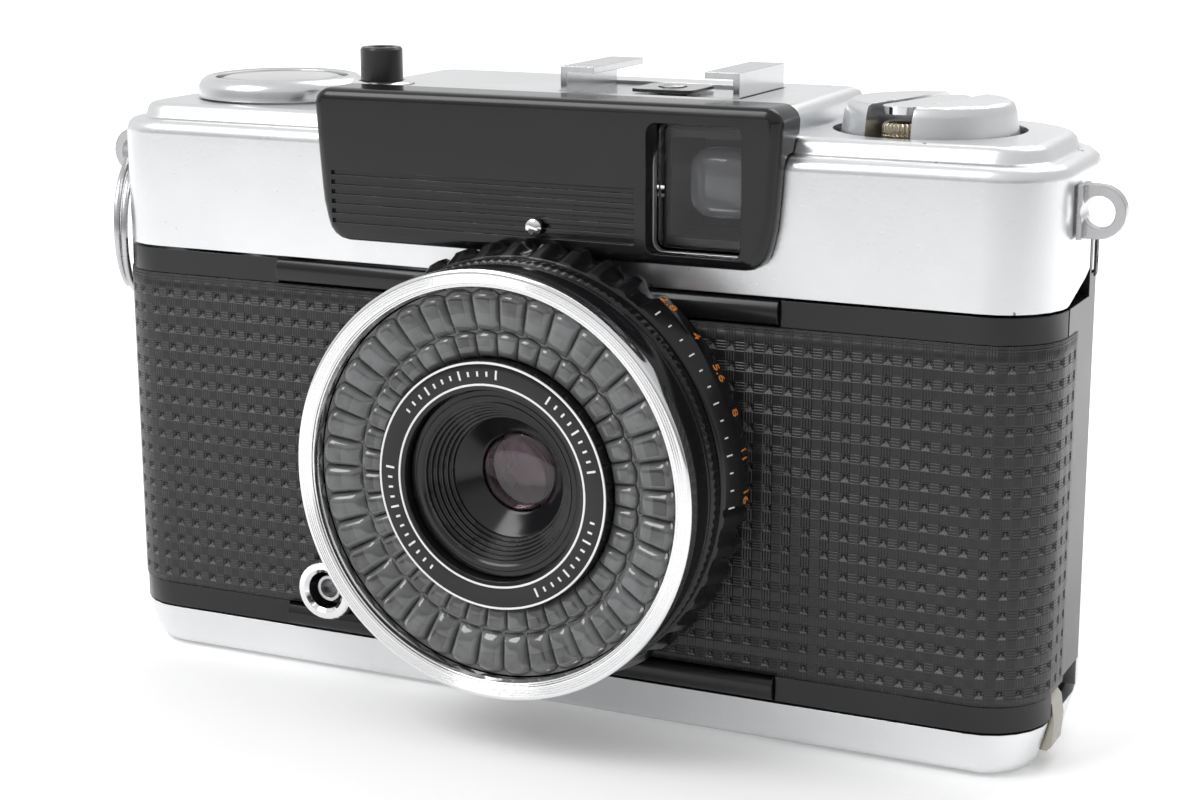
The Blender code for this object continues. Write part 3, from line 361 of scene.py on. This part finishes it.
LOOK = {
    "satin_chrome": metal("satin_chrome_look", (0.80, 0.81, 0.82), 0.24, 0.36, 2600, 0.014, True),
    "bright_chrome": metal("bright_chrome_look", (0.84, 0.84, 0.85), 0.05, 0.12, 500, 0.002),
    "black_paint": paint("black_paint_look", (0.006, 0.006, 0.007), 0.12, 0.22, level=0.42),
    "casting_paint": paint("casting_paint_look", (0.007, 0.007, 0.008), 0.18, 0.3, 1400, 0.01, level=0.42),
    "leatherette": leatherette(),
    "black_plastic": paint("black_plastic_look", (0.009, 0.009, 0.009), 0.22, 0.34, 1600),
    "brass": metal("brass_look", (0.58, 0.42, 0.20), 0.24, 0.38, 900, 0.006),
    "steel": metal("steel_look", (0.55, 0.55, 0.56), 0.24, 0.38, 700, 0.005, stretch=(1, 1, 12)),
    "optical_glass": clear("optical_glass_look", (0.95, 0.94, 0.96), 0.0, 1.0, 1.5),
    "clear_plastic": clear("clear_plastic_look", (0.93, 0.93, 0.95), 0.03, 0.8, 1.49),
    "selenium": paint("selenium_look", (0.075, 0.075, 0.08), 0.25, 0.4, 400),
    "white_enamel": paint("white_enamel_look", (0.72, 0.72, 0.74), 0.3, 0.42, worn=(0.6, 0.6, 0.6)),
}
WHITE_INK = paint("white_ink_look", (0.82, 0.82, 0.80), 0.4, 0.55, worn=(0.7, 0.7, 0.68))
ORANGE_INK = paint("orange_ink_look", (0.72, 0.22, 0.03), 0.4, 0.55, worn=(0.6, 0.2, 0.04))
COATED = clear("coated_glass_look", (0.66, 0.52, 0.58), 0.0, 1.0, 1.55)
FINDER_GLASS = clear("finder_glass_look", (0.42, 0.43, 0.45), 0.02, 0.6, 1.5)
NICKEL = metal("nickel_look", (0.62, 0.55, 0.42), 0.2, 0.32, 900, 0.006)
CELL_LOOK = cell_plastic()

# Nodes that don't wear the look of their material slot
OWN_LOOKS = {
    "back_door": door_look(),
    "strap_lug_left": metal("lug_look", (0.52, 0.52, 0.53), 0.22, 0.34, 900, 0.01, soft=0.2),
    "sync_contact": LOOK["steel"],
    "shoe_insulator": paint("insulator_look", (0.012, 0.012, 0.012), 0.06, 0.12, coat=0.5),
    "viewfinder_tube": paint("finder_tube_look", (0.014, 0.014, 0.015), 0.4, 0.5),
    "viewfinder_window": clear("finder_window_look", (0.9, 0.9, 0.91), 0.0, 1.0, 1.3),
    # Darker than the other chrome: painted shade, so that the rails don't go white under the lights.
    "accessory_shoe": metal("shoe_look", (0.60, 0.61, 0.62), 0.12, 0.26, 700, 0.006),
    # Darker nickel: partly its own tone, partly painted shade for the shadow it sits in.
    "latch_bar": metal("latch_look", (0.36, 0.34, 0.30), 0.25, 0.4, 600, 0.02),
    "rewind_knob": knob_look(),
    "counter_bezel": metal("counter_bezel_look", (0.74, 0.75, 0.76), 0.2, 0.3, 1800, 0.004),
}
OWN_LOOKS["strap_lug_right"] = OWN_LOOKS["strap_lug_left"]
OWN_LOOKS["shoe_contact"] = LOOK["steel"]


def dress_frame():
    """Gives every CAD node the look of its material slot and smooth shading between its edges."""
    slots = {part["node"]: part["material_slot"] for part in frame["record"]["subparts"]}
    for name, obj in frame["nodes"].items():
        for slot in obj.material_slots:
            slot.material = OWN_LOOKS.get(name, LOOK[slots[name]])
        smooth_between_edges(obj, SOFT_EDGE_ANGLES.get(name, EDGE_ANGLE))


def smooth_between_edges(obj, angle):
    """Joins the loose triangles, then splits them only where the surface really turns."""
    if "custom_normal" in obj.data.attributes:
        obj.data.attributes.remove(obj.data.attributes["custom_normal"])
    obj.data.shade_smooth()
    join = obj.modifiers.new("join", "WELD")
    join.merge_threshold = 0.00001
    split = obj.modifiers.new("edges", "EDGE_SPLIT")
    split.split_angle = math.radians(angle)
    split.use_edge_sharp = False
    weighted = obj.modifiers.new("weighted_normals", "WEIGHTED_NORMAL")
    weighted.weight = 60


# Mesh helpers

SQUARE = ((-1, -1), (1, -1), (1, 1), (-1, 1))


def piece(name, bm, slot, body="chassis", replaces=(), look=None, smooth=35, recalc=True):
    if recalc:
        bmesh.ops.recalc_face_normals(bm, faces=bm.faces)
    bm.transform(Matrix.Scale(MM, 4))
    mesh = bpy.data.meshes.new(name)
    bm.to_mesh(mesh)
    bm.free()
    mesh.shade_smooth()
    mesh.set_sharp_from_angle(angle=math.radians(smooth))
    obj = bpy.data.objects.new(name, mesh)
    bpy.context.collection.objects.link(obj)
    obj.data.materials.append(look or LOOK[slot])
    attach(obj, body)
    if replaces:
        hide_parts(*replaces)
    return obj


def loops_to_mesh(bm, loops, ring=False):
    """Skins loops of points one after another, closed into a ring or with a cap at both ends."""
    rings = [[bm.verts.new(point) for point in loop] for loop in loops]
    pairs = list(zip(rings, rings[1:]))
    if ring:
        pairs.append((rings[-1], rings[0]))
    for first, second in pairs:
        count = len(first)
        for i in range(count):
            j = (i + 1) % count
            bm.faces.new((first[i], first[j], second[j], second[i]))
    if not ring:
        bm.faces.new(rings[0])
        bm.faces.new(rings[-1])


def lathe(profile, centre, axis="Z", segments=160, ring=False, shape=None):
    """Turn (radius, level) points; shape(radius, level, angle) may change a point's radius."""
    bm = bmesh.new()
    loops = []
    for radius, level in profile:
        loop = []
        for i in range(segments):
            angle = 2 * math.pi * i / segments
            r = shape(radius, level, angle) if shape else radius
            u, v = centre[0] + r * math.cos(angle), centre[1] + r * math.sin(angle)
            loop.append((u, v, level) if axis == "Z" else (u, level, v))
        loops.append(loop)
    loops_to_mesh(bm, loops, ring)
    return bm


def add_plate(bm, corners, out, down, up):
    """Thin closed plate that reaches down into a surface and up out of it."""
    low = [bm.verts.new(c - out * down) for c in corners]
    high = [bm.verts.new(c + out * up) for c in corners]
    bm.faces.new(low)
    bm.faces.new(high)
    for i in range(4):
        j = (i + 1) % 4
        bm.faces.new((low[i], low[j], high[j], high[i]))


def arc(cx, cy, radius, start, end, steps):
    """Points along an arc from one angle to another, in degrees."""
    points = []
    for i in range(steps + 1):
        angle = math.radians(start + (end - start) * i / steps)
        points.append((cx + radius * math.cos(angle), cy + radius * math.sin(angle)))
    return points


# Camera, floor and light

def aim(obj, target, roll=0.0):
    away = obj.location - Vector(target)
    facing = away.to_track_quat("Z", "Y").to_matrix()
    obj.rotation_euler = (facing @ Matrix.Rotation(roll, 3, "Z")).to_euler()


def set_world():
    """Even studio white, a little dimmer to the right and low down behind the camera."""
    world = bpy.data.worlds.new("studio")
    bpy.context.scene.world = world
    world.use_nodes = True
    ground = world.node_tree.nodes["Background"]
    graph = Graph(world)
    way = graph.axes(graph.coordinate("Generated"))
    tilt = graph.math("MULTIPLY", way["X"], -0.12)
    low = graph.math("MAXIMUM", graph.math("SUBTRACT", 1.0, graph.math("MULTIPLY", way["Z"], 2.4)), 0.0)
    facing = graph.math("MAXIMUM", graph.math("MULTIPLY", way["Y"], -1.6), 0.0)
    facing = graph.math("MINIMUM", facing, 1.0)
    dark = graph.math("MULTIPLY", graph.math("MULTIPLY", low, facing), -0.55)
    level = graph.math("ADD", graph.math("ADD", 0.80, tilt), dark)
    graph.feed(ground.inputs["Strength"], level)
    ground.inputs["Color"].default_value = (1, 1, 1, 1)


def floor_look():
    """Matt white whose glow rises backwards, so that it meets the white backdrop.

    The glow is dimmed a little close in front, and more so towards the right.
    """
    made = new_material("floor_look", (0.93, 0.93, 0.93), 0.6, Specular_IOR_Level=0.2)
    graph = Graph(made)
    place = graph.axes(graph.coordinate())
    far = graph.math("MULTIPLY", graph.math("ADD", place["Y"], 0.02), 1.6)
    glow = graph.math("ADD", graph.math("MINIMUM", graph.math("MAXIMUM", far, 0.0), 0.3), 0.16)
    along = graph.math("DIVIDE", graph.math("ADD", place["X"], 0.142), 0.085)
    along = graph.math("MINIMUM", graph.math("MAXIMUM", along, 0.0), 1.0)
    near = graph.math("DIVIDE", graph.math("SUBTRACT", -0.11, place["Y"]), 0.06)
    near = graph.math("MINIMUM", graph.math("MAXIMUM", near, 0.0), 1.0)
    dim = graph.math("MULTIPLY", near, graph.math("ADD", 0.03, graph.math("MULTIPLY", along, 0.15)))
    graph.feed(graph.shader.inputs["Emission Strength"], graph.math("SUBTRACT", glow, dim))
    graph.shader.inputs["Emission Color"].default_value = (1, 1, 1, 1)
    return made


def set_camera():
    azimuth, elevation = math.radians(CAMERA_AZIMUTH), math.radians(CAMERA_ELEVATION)
    target = Vector(CAMERA_TARGET)
    camera = bpy.data.objects.new("camera", bpy.data.cameras.new("camera"))
    camera.data.lens = CAMERA_LENS
    camera.data.clip_start = 0.005
    away = Vector((math.sin(azimuth) * math.cos(elevation),
                   -math.cos(azimuth) * math.cos(elevation),
                   math.sin(elevation)))
    camera.location = target + CAMERA_DISTANCE * away
    bpy.context.collection.objects.link(camera)
    aim(camera, target, math.radians(CAMERA_ROLL))
    bpy.context.scene.camera = camera
    bpy.context.scene.view_settings.view_transform = "Standard"


def make_floor():
    bm = bmesh.new()
    bmesh.ops.create_grid(bm, x_segments=2, y_segments=2, size=1.6)
    mesh = bpy.data.meshes.new("floor")
    bm.to_mesh(mesh)
    bm.free()
    floor = bpy.data.objects.new("floor", mesh)
    floor.location = (0, 0, -0.0002)
    floor.data.materials.append(floor_look())
    bpy.context.collection.objects.link(floor)


def set_lights():
    for name, place, size, power in LIGHTS:
        light = bpy.data.objects.new(name, bpy.data.lights.new(name, "AREA"))
        light.data.size = size
        light.data.energy = power
        light.location = place
        bpy.context.collection.objects.link(light)
        aim(light, (0, 0, 0.03))


# Lens

def lens(name, profile, slot, node, body="chassis", ring=True, segments=192, shape=None, look=None,
         smooth=35):
    """Turned piece on the lens axis, which may stand in for a CAD node."""
    bm = lathe(profile, LENS, "Y", segments, ring, shape)
    return piece(name, bm, slot, body, (node,) if node else (), look, smooth)


def make_bezel():
    """Chrome ring with four turned grooves in its face."""
    profile = [(20.25, -28.75), (22.2, -28.75), (22.3, -28.95), (22.3, -30.1), (22.24, -30.3),
               (22.1, -30.43)]
    for k in range(4):
        r = 21.9 - 0.24 * k
        profile += [(r, -30.5), (r - 0.1, -30.5), (r - 0.13, -30.45), (r - 0.2, -30.45)]
    profile += [(20.86, -30.42), (20.78, -30.3), (20.68, -30.3), (20.6, -30.12), (20.5, -30.12),
                (20.42, -29.9), (20.25, -29.6)]
    lens("bezel_turned", profile, "bright_chrome", "chrome_bezel", smooth=25)


def make_name_ring():
    """Black ring between two white lines, with generic marks in place of lettering."""
    profile = [(9.9, -27.85), (12.95, -27.85), (12.95, -29.4), (12.88, -29.58), (12.7, -29.65),
               (10.15, -29.65), (9.95, -29.55)]
    lens("name_ring_turned", profile, "black_paint", "name_ring")
    for i, radius in enumerate((12.72, 10.5)):
        inner, outer = radius - 0.11, radius + 0.11
        line = [(inner, -29.6), (outer, -29.6), (outer, -29.69), (inner, -29.69)]
        lens("name_ring_line_%d" % i, line, "white_enamel", None, look=WHITE_INK)
    for group, (start, count) in enumerate(TICK_GROUPS):
        bm = bmesh.new()
        for k in range(count):
            angle = math.radians(start + TICK_PITCH * k)
            half = 0.48 if k % 4 == 0 else 0.26
            out = Vector((math.cos(angle), 0, math.sin(angle)))
            side = Vector((-math.sin(angle), 0, math.cos(angle)))
            centre = Vector((LENS[0], -29.67, LENS[1])) + out * 11.6
            corners = [centre + out * (a * half) + side * (b * 0.11) for a, b in SQUARE]
            add_plate(bm, corners, Vector((0, -1, 0)), 0.03, 0.02)
        piece("name_ring_marks_%d" % group, bm, "white_enamel", look=WHITE_INK)


def make_lens_cell():
    """Stepped bore round the glasses, with six turned ridges towards the front."""
    profile = [(10.9, -27.5), (10.9, -21.4), (9.0, -20.6), (9.0, -14.8), (4.7, -14.8), (4.7, -20.6),
               (3.4, -20.9), (3.4, -21.4), (4.6, -21.7), (4.6, -22.9), (4.3, -22.95), (4.25, -23.35),
               (4.5, -23.5), (6.15, -25.5)]
    for k in range(6):
        r = 6.3 + 0.36 * k
        y = -25.6 - 0.47 * k
        profile += [(r, y), (r + 0.05, y - 0.36), (r + 0.28, y - 0.36), (r + 0.31, y - 0.43)]
    profile += [(8.5, -28.45), (8.65, -28.55), (9.1, -28.55), (9.15, -28.48), (9.7, -28.48),
                (9.7, -27.5)]
    lens("lens_cell_turned", profile, "black_paint", "lens_cell", smooth=25)


def make_front_element():
    profile = [(3.0, -21.9), (4.35, -22.2)]
    for degrees in range(0, 90, 8):
        angle = math.radians(degrees)
        profile.append((4.35 * math.cos(angle), -22.85 - 0.95 * math.sin(angle)))
    lens("front_element_ground", profile, "optical_glass", "front_element", ring=False, segments=96,
         look=COATED)


def make_cell_lens():
    """Two rows of moulded lenslets over the light cell, on one clear ring."""
    base = [(13.05, -27.2), (19.3, -27.2), (19.3, -28.45), (20.15, -28.6), (20.15, -28.7), (15.9, -28.2),
            (13.05, -27.9)]
    bm = lathe(base, LENS, "Y", 156, True)
    bmesh.ops.recalc_face_normals(bm, faces=bm.faces)
    uv = bm.loops.layers.uv.new("UVMap")
    for face in bm.faces:
        for loop in face.loops:
            loop[uv].uv = (0.0, 1.0)
    for inner, outer, turn, low, high, dome in LENSLET_ROWS:
        for k in range(LENSLETS):
            middle = 2 * math.pi * (k + turn) / LENSLETS
            add_lenslet(bm, uv, inner, outer, middle, low, high, dome)
    piece("cell_lens_moulded", bm, "clear_plastic", replaces=("cell_lens",), look=CELL_LOOK, smooth=70,
          recalc=False)


def add_lenslet(bm, uv, inner, outer, middle, low, high, dome, steps=8):
    """One pillow between two radii, its outer edge a little rounded."""
    width = 2 * math.pi / LENSLETS
    grid = []
    for i in range(steps + 1):
        across = -1 + 2 * i / steps
        row = []
        for j in range(steps + 1):
            along = -1 + 2 * j / steps
            reach = (along + 1) / 2
            reach -= 0.12 * across ** 2 * reach ** 3
            radius = inner + (outer - inner) * reach
            angle = middle + across * width * 0.5
            pillow = (1 - abs(across) ** 3.2) ** 0.55 * (1 - abs(along) ** 4) ** 0.5
            level = low + (high - low) * (along + 1) / 2 - dome * pillow
            x = LENS[0] + radius * math.cos(angle)
            z = LENS[1] + radius * math.sin(angle)
            row.append((bm.verts.new((x, level, z)), across, along))
        grid.append(row)
    for i in range(steps):
        for j in range(steps):
            corner = (grid[i][j], grid[i + 1][j], grid[i + 1][j + 1], grid[i][j + 1])
            face = bm.faces.new([c[0] for c in corner])
            for loop, c in zip(face.loops, corner):
                loop[uv].uv = (c[1], c[2])


def make_speed_ring():
    """Ring with a band of fine knurling and turned grooves."""
    def knurl(radius, level, angle):
        if radius > 22.0 and -24.4 < level < -23.1:
            return radius + 0.07 * math.cos(150 * angle)
        return radius

    profile = [(20.5, -23.0), (22.1, -23.0), (22.2, -23.1), (22.2, -24.35), (22.05, -24.5),
               (21.85, -24.55), (21.85, -24.95), (22.0, -25.0), (22.0, -25.25), (21.85, -25.3),
               (21.85, -25.5), (22.0, -25.6), (22.0, -28.1), (21.85, -28.35), (21.6, -28.45),
               (20.5, -28.45)]
    lens("speed_ring_knurled", profile, "black_paint", "speed_ring", "speed_ring", segments=900,
         shape=knurl)


def make_aperture_ring():
    """Ring with scalloped grips, numerals on its rim and ticks on the cone in front of them."""
    def scallop(radius, level, angle):
        degrees = math.degrees(angle) % 360
        for start, end in GRIPS:
            if start <= degrees <= end and radius > 22.4:
                away = ((degrees - start) / GRIP_PITCH) % 1.0 - 0.5
                notch = max(0.0, 1 - (away * GRIP_PITCH / 2.9) ** 2)
                return radius - GRIP_DEPTH * notch * min(1.0, (radius - 22.4) / 0.6)
        return radius

    profile = [(20.8, -17.95), (23.15, -17.95), (23.35, -18.1), (23.4, -18.3), (23.4, -19.9),
               (23.36, -20.2), (23.2, -20.5), (22.55, -22.35), (22.4, -22.6), (22.2, -22.7),
               (20.5, -22.7)]
    lens("aperture_ring_scalloped", profile, "black_paint", "aperture_ring", "aperture_ring",
         segments=720, shape=scallop, smooth=40)
    cone = math.atan2(0.65, 1.85)
    for k, text in enumerate(APERTURES):
        ring_number("aperture_number_%d" % k, text, 23.42, -19.2, -2 + 10.5 * k, 0.0, ORANGE_INK,
                    "aperture_ring")
    bm = bmesh.new()
    for k in range(13):
        add_ring_tick(bm, 22.86, -21.45, -4 + 4.5 * k, cone, 0.85 if k % 3 == 0 else 0.5)
    piece("aperture_scale", bm, "white_enamel", "aperture_ring", look=WHITE_INK)


def ring_place(radius, level, degrees, slope):
    """Axes of a spot on a ring: along its rim, back along the lens and out of its face."""
    angle = math.radians(degrees)
    out = Vector((math.cos(angle), 0, math.sin(angle)))
    normal = (out * math.cos(slope) - Vector((0, math.sin(slope), 0))).normalized()
    round_rim = Vector((math.sin(angle), 0, -math.cos(angle)))
    back = normal.cross(round_rim)
    centre = Vector((LENS[0], level, LENS[1])) + out * radius
    return centre, round_rim, back, normal


def add_ring_tick(bm, radius, level, degrees, slope, length):
    centre, rim, back, normal = ring_place(radius, level, degrees, slope)
    corners = [centre + rim * (a * 0.08) + back * (b * length / 2) for a, b in SQUARE]
    add_plate(bm, corners, normal, 0.05, 0.03)


def ring_number(name, text, radius, level, degrees, slope, look, body, size=1.7):
    """A generic numeral lying on a ring's outer face."""
    curve = bpy.data.curves.new(name, "FONT")
    curve.body = text
    curve.size = size * MM
    curve.align_x = "CENTER"
    curve.align_y = "CENTER"
    curve.extrude = 0.03 * MM
    obj = bpy.data.objects.new(name, curve)
    bpy.context.collection.objects.link(obj)
    centre, rim, back, normal = ring_place(radius, level, degrees, slope)
    turn = Matrix((rim, back, normal)).transposed().to_4x4()
    obj.matrix_world = Matrix.Translation(centre * MM) @ turn
    obj.data.materials.append(look)
    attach(obj, body)


# Skins

def press_lines(low, high, phase):
    """Grid lines and whether each is the middle of a pressed square."""
    lines = [(low, False)]
    k = math.floor((low - phase) / PITCH)
    while phase + PITCH * k <= high - 0.6:
        centre = phase + PITCH * k
        if centre > low + 0.6:
            half = PITCH * PRESS / 2
            lines += [(centre - half, False), (centre, True), (centre + half, False)]
        k += 1
    lines.append((high, False))
    return lines


def path_point(path, run, place):
    """Position and outward normal at a distance along a path in plan, or at its end if past it."""
    for (a, b), (ra, rb) in zip(zip(path, path[1:]), zip(run, run[1:])):
        if place <= rb or rb == run[-1]:
            t = (place - ra) / max(rb - ra, 1e-9)
            x, y = a[0] + (b[0] - a[0]) * t, a[1] + (b[1] - a[1]) * t
            length = math.hypot(b[0] - a[0], b[1] - a[1])
            return x, y, (b[1] - a[1]) / length, -(b[0] - a[0]) / length


def facets(corners, pit):
    """Two triangles that meet at the pit, or the whole patch where it has none."""
    if pit is None:
        return [corners]
    a, b, c, d = corners[pit:] + corners[:pit]
    return [(a, b, c), (a, c, d)]


def skin_sheet(path, z_low, z_high, open_at):
    """Embossed sheet along a path in plan: pressed squares as real pits, UVs in millimetres."""
    run = [0.0]
    for (x0, y0), (x1, y1) in zip(path, path[1:]):
        run.append(run[-1] + math.hypot(x1 - x0, y1 - y0))
    columns = press_lines(0.0, run[-1], PITCH / 2)
    rows = press_lines(z_low, z_high, PITCH / 2)
    bm = bmesh.new()
    uv = bm.loops.layers.uv.new("UVMap")
    grid = []
    for place, mid_x in columns:
        x, y, nx, ny = path_point(path, run, place)
        line = []
        for z, mid_z in rows:
            pit = mid_x and mid_z
            dent = PRESS_DEPTH if pit else 0.0
            line.append((bm.verts.new((x - nx * dent, y - ny * dent, z)), place, z, pit))
        grid.append(line)
    for i in range(len(grid) - 1):
        for j in range(len(rows) - 1):
            corners = [grid[i][j], grid[i + 1][j], grid[i + 1][j + 1], grid[i][j + 1]]
            if open_at(sum((c[0].co for c in corners), Vector()) / 4):
                continue
            pits = [k for k, c in enumerate(corners) if c[3]]
            for patch in facets(corners, pits[0] if pits else None):
                face = bm.faces.new([c[0] for c in patch])
                for loop, c in zip(face.loops, patch):
                    loop[uv].uv = (c[1] - PITCH / 2, c[2] - PITCH / 2)
    bmesh.ops.delete(bm, geom=[v for v in bm.verts if not v.link_faces], context="VERTS")
    return bm


def thicken(obj, thickness):
    solid = obj.modifiers.new("thickness", "SOLIDIFY")
    solid.thickness = thickness * MM
    solid.offset = -1


def make_front_skin():
    side = HALF_WIDTH + PROUD
    centre = HALF_WIDTH - FRONT_R
    path = [(-side, SKIN_LEFT_Y)]
    path += arc(-centre, FRONT_Y + FRONT_R, FRONT_R + PROUD, 180, 270, 24)
    path += arc(centre, FRONT_Y + FRONT_R, FRONT_R + PROUD, 270, 360, 24)
    path.append((side, SKIN_RIGHT_Y))

    def is_open(p):
        in_lens = math.hypot(p.x - LENS[0], p.z - LENS[1]) < SKIN_LENS_R
        return in_lens or math.hypot(p.x - SYNC[0], p.z - SYNC[1]) < SKIN_SYNC_R

    bm = skin_sheet(path, *FRONT_SKIN_Z, is_open)
    skin = piece("leatherette_front_embossed", bm, "leatherette", replaces=("leatherette_front",),
                 smooth=12, recalc=False)
    thicken(skin, FRONT_SKIN_THICK)


def make_back_skin():
    centre = HALF_WIDTH - BACK_R
    path = arc(centre, BACK_Y - BACK_R, BACK_R + PROUD, 2, 90, 40)
    path += arc(-centre, BACK_Y - BACK_R, BACK_R + PROUD, 90, 134, 24)

    def is_open(p):
        return p.x > DOOR_STEP[0] and p.y < DOOR_STEP[1] and p.z < DOOR_STEP[2]

    bm = skin_sheet(path, *BACK_SKIN_Z, is_open)
    skin = piece("leatherette_back_embossed", bm, "leatherette", "back_door", ("leatherette_back",),
                 smooth=12, recalc=False)
    thicken(skin, BACK_SKIN_THICK)


# Strap ring

def make_split_ring():
    """Two flat coils with stepped ends, hanging through the left lug and leaning in."""
    lean = math.radians(SPLIT_RING_LEAN)
    turns = 2.0
    steps = 150
    hang_z = LUG[2] - 0.75 - SPLIT_RING_R
    loops = []
    for i in range(steps + 1):
        t = i / steps
        angle = 2 * math.pi * turns * t + math.radians(SPLIT_RING_START)
        shift = 0.44 * math.tanh((t - 0.5) * 14)
        reach = SPLIT_RING_R + 0.12 * math.sin(2 * math.pi * t)
        loop = []
        for j in range(12):
            a = 2 * math.pi * j / 12
            across = shift + 0.36 * math.copysign(abs(math.cos(a)) ** 0.5, math.cos(a))
            radial = reach + 0.40 * math.copysign(abs(math.sin(a)) ** 0.5, math.sin(a))
            back = radial * math.sin(angle)
            loop.append((LUG[0] + across * math.cos(lean) - back * math.sin(lean),
                         LUG[1] + across * math.sin(lean) + back * math.cos(lean),
                         hang_z + radial * math.cos(angle)))
        loops.append(loop)
    bm = bmesh.new()
    loops_to_mesh(bm, loops)
    piece("split_ring_coiled", bm, "bright_chrome", "split_ring", ("split_ring",), smooth=50,
          look=OWN_LOOKS["strap_lug_left"])


# Small turned parts

def make_crank_handle():
    """Knurled roller in two bands that hangs in the well of the rewind knob."""
    angle = math.radians(CRANK_ANGLE)
    centre = (CASSETTE[0] + HANDLE_OUT * math.cos(angle), CASSETTE[1] + HANDLE_OUT * math.sin(angle))

    def knurl(radius, level, turn):
        return radius + 0.09 * math.cos(HANDLE_TEETH * turn) if radius == HANDLE_R else radius

    profile = [(1.4, 62.3), (1.85, 62.4), (HANDLE_R, 62.5), (HANDLE_R, 63.35), (1.8, 63.4), (1.8, 63.5),
               (HANDLE_R, 63.55), (HANDLE_R, 64.3), (1.85, 64.55), (1.5, 64.7)]
    bm = lathe(profile, centre, "Z", 416, shape=knurl)
    piece("crank_handle_knurled", bm, "brass", "crank_handle", ("crank_handle",), look=NICKEL)


def make_objective():
    """Rounded, domed front lens inside the finder."""
    bm = bmesh.new()
    loops = []
    for t in (0.0, 0.0, 0.25, 0.5, 0.7, 0.85, 0.95, 1.0):
        level = -9.8 if not loops else -11.0 - 1.3 * t
        scale = math.sqrt(max(1 - (0.93 * t) ** 2, 0.0))
        loop = []
        for i in range(64):
            a = 2 * math.pi * i / 64
            x = math.copysign(abs(math.cos(a)) ** 0.6, math.cos(a)) * 3.7 * scale
            z = math.copysign(abs(math.sin(a)) ** 0.6, math.sin(a)) * 3.6 * scale
            loop.append((FINDER[0] + 0.75 + x, level, FINDER[1] + 0.1 + z))
        loops.append(loop)
    loops_to_mesh(bm, loops)
    piece("viewfinder_objective_domed", bm, "optical_glass", replaces=("viewfinder_objective",),
          look=FINDER_GLASS, smooth=40)


dress_frame()
set_camera()
make_floor()
set_world()
set_lights()
make_bezel()
make_name_ring()
make_lens_cell()
make_front_element()
make_cell_lens()
make_speed_ring()
make_aperture_ring()
make_front_skin()
make_back_skin()
make_split_ring()
make_crank_handle()
make_objective()
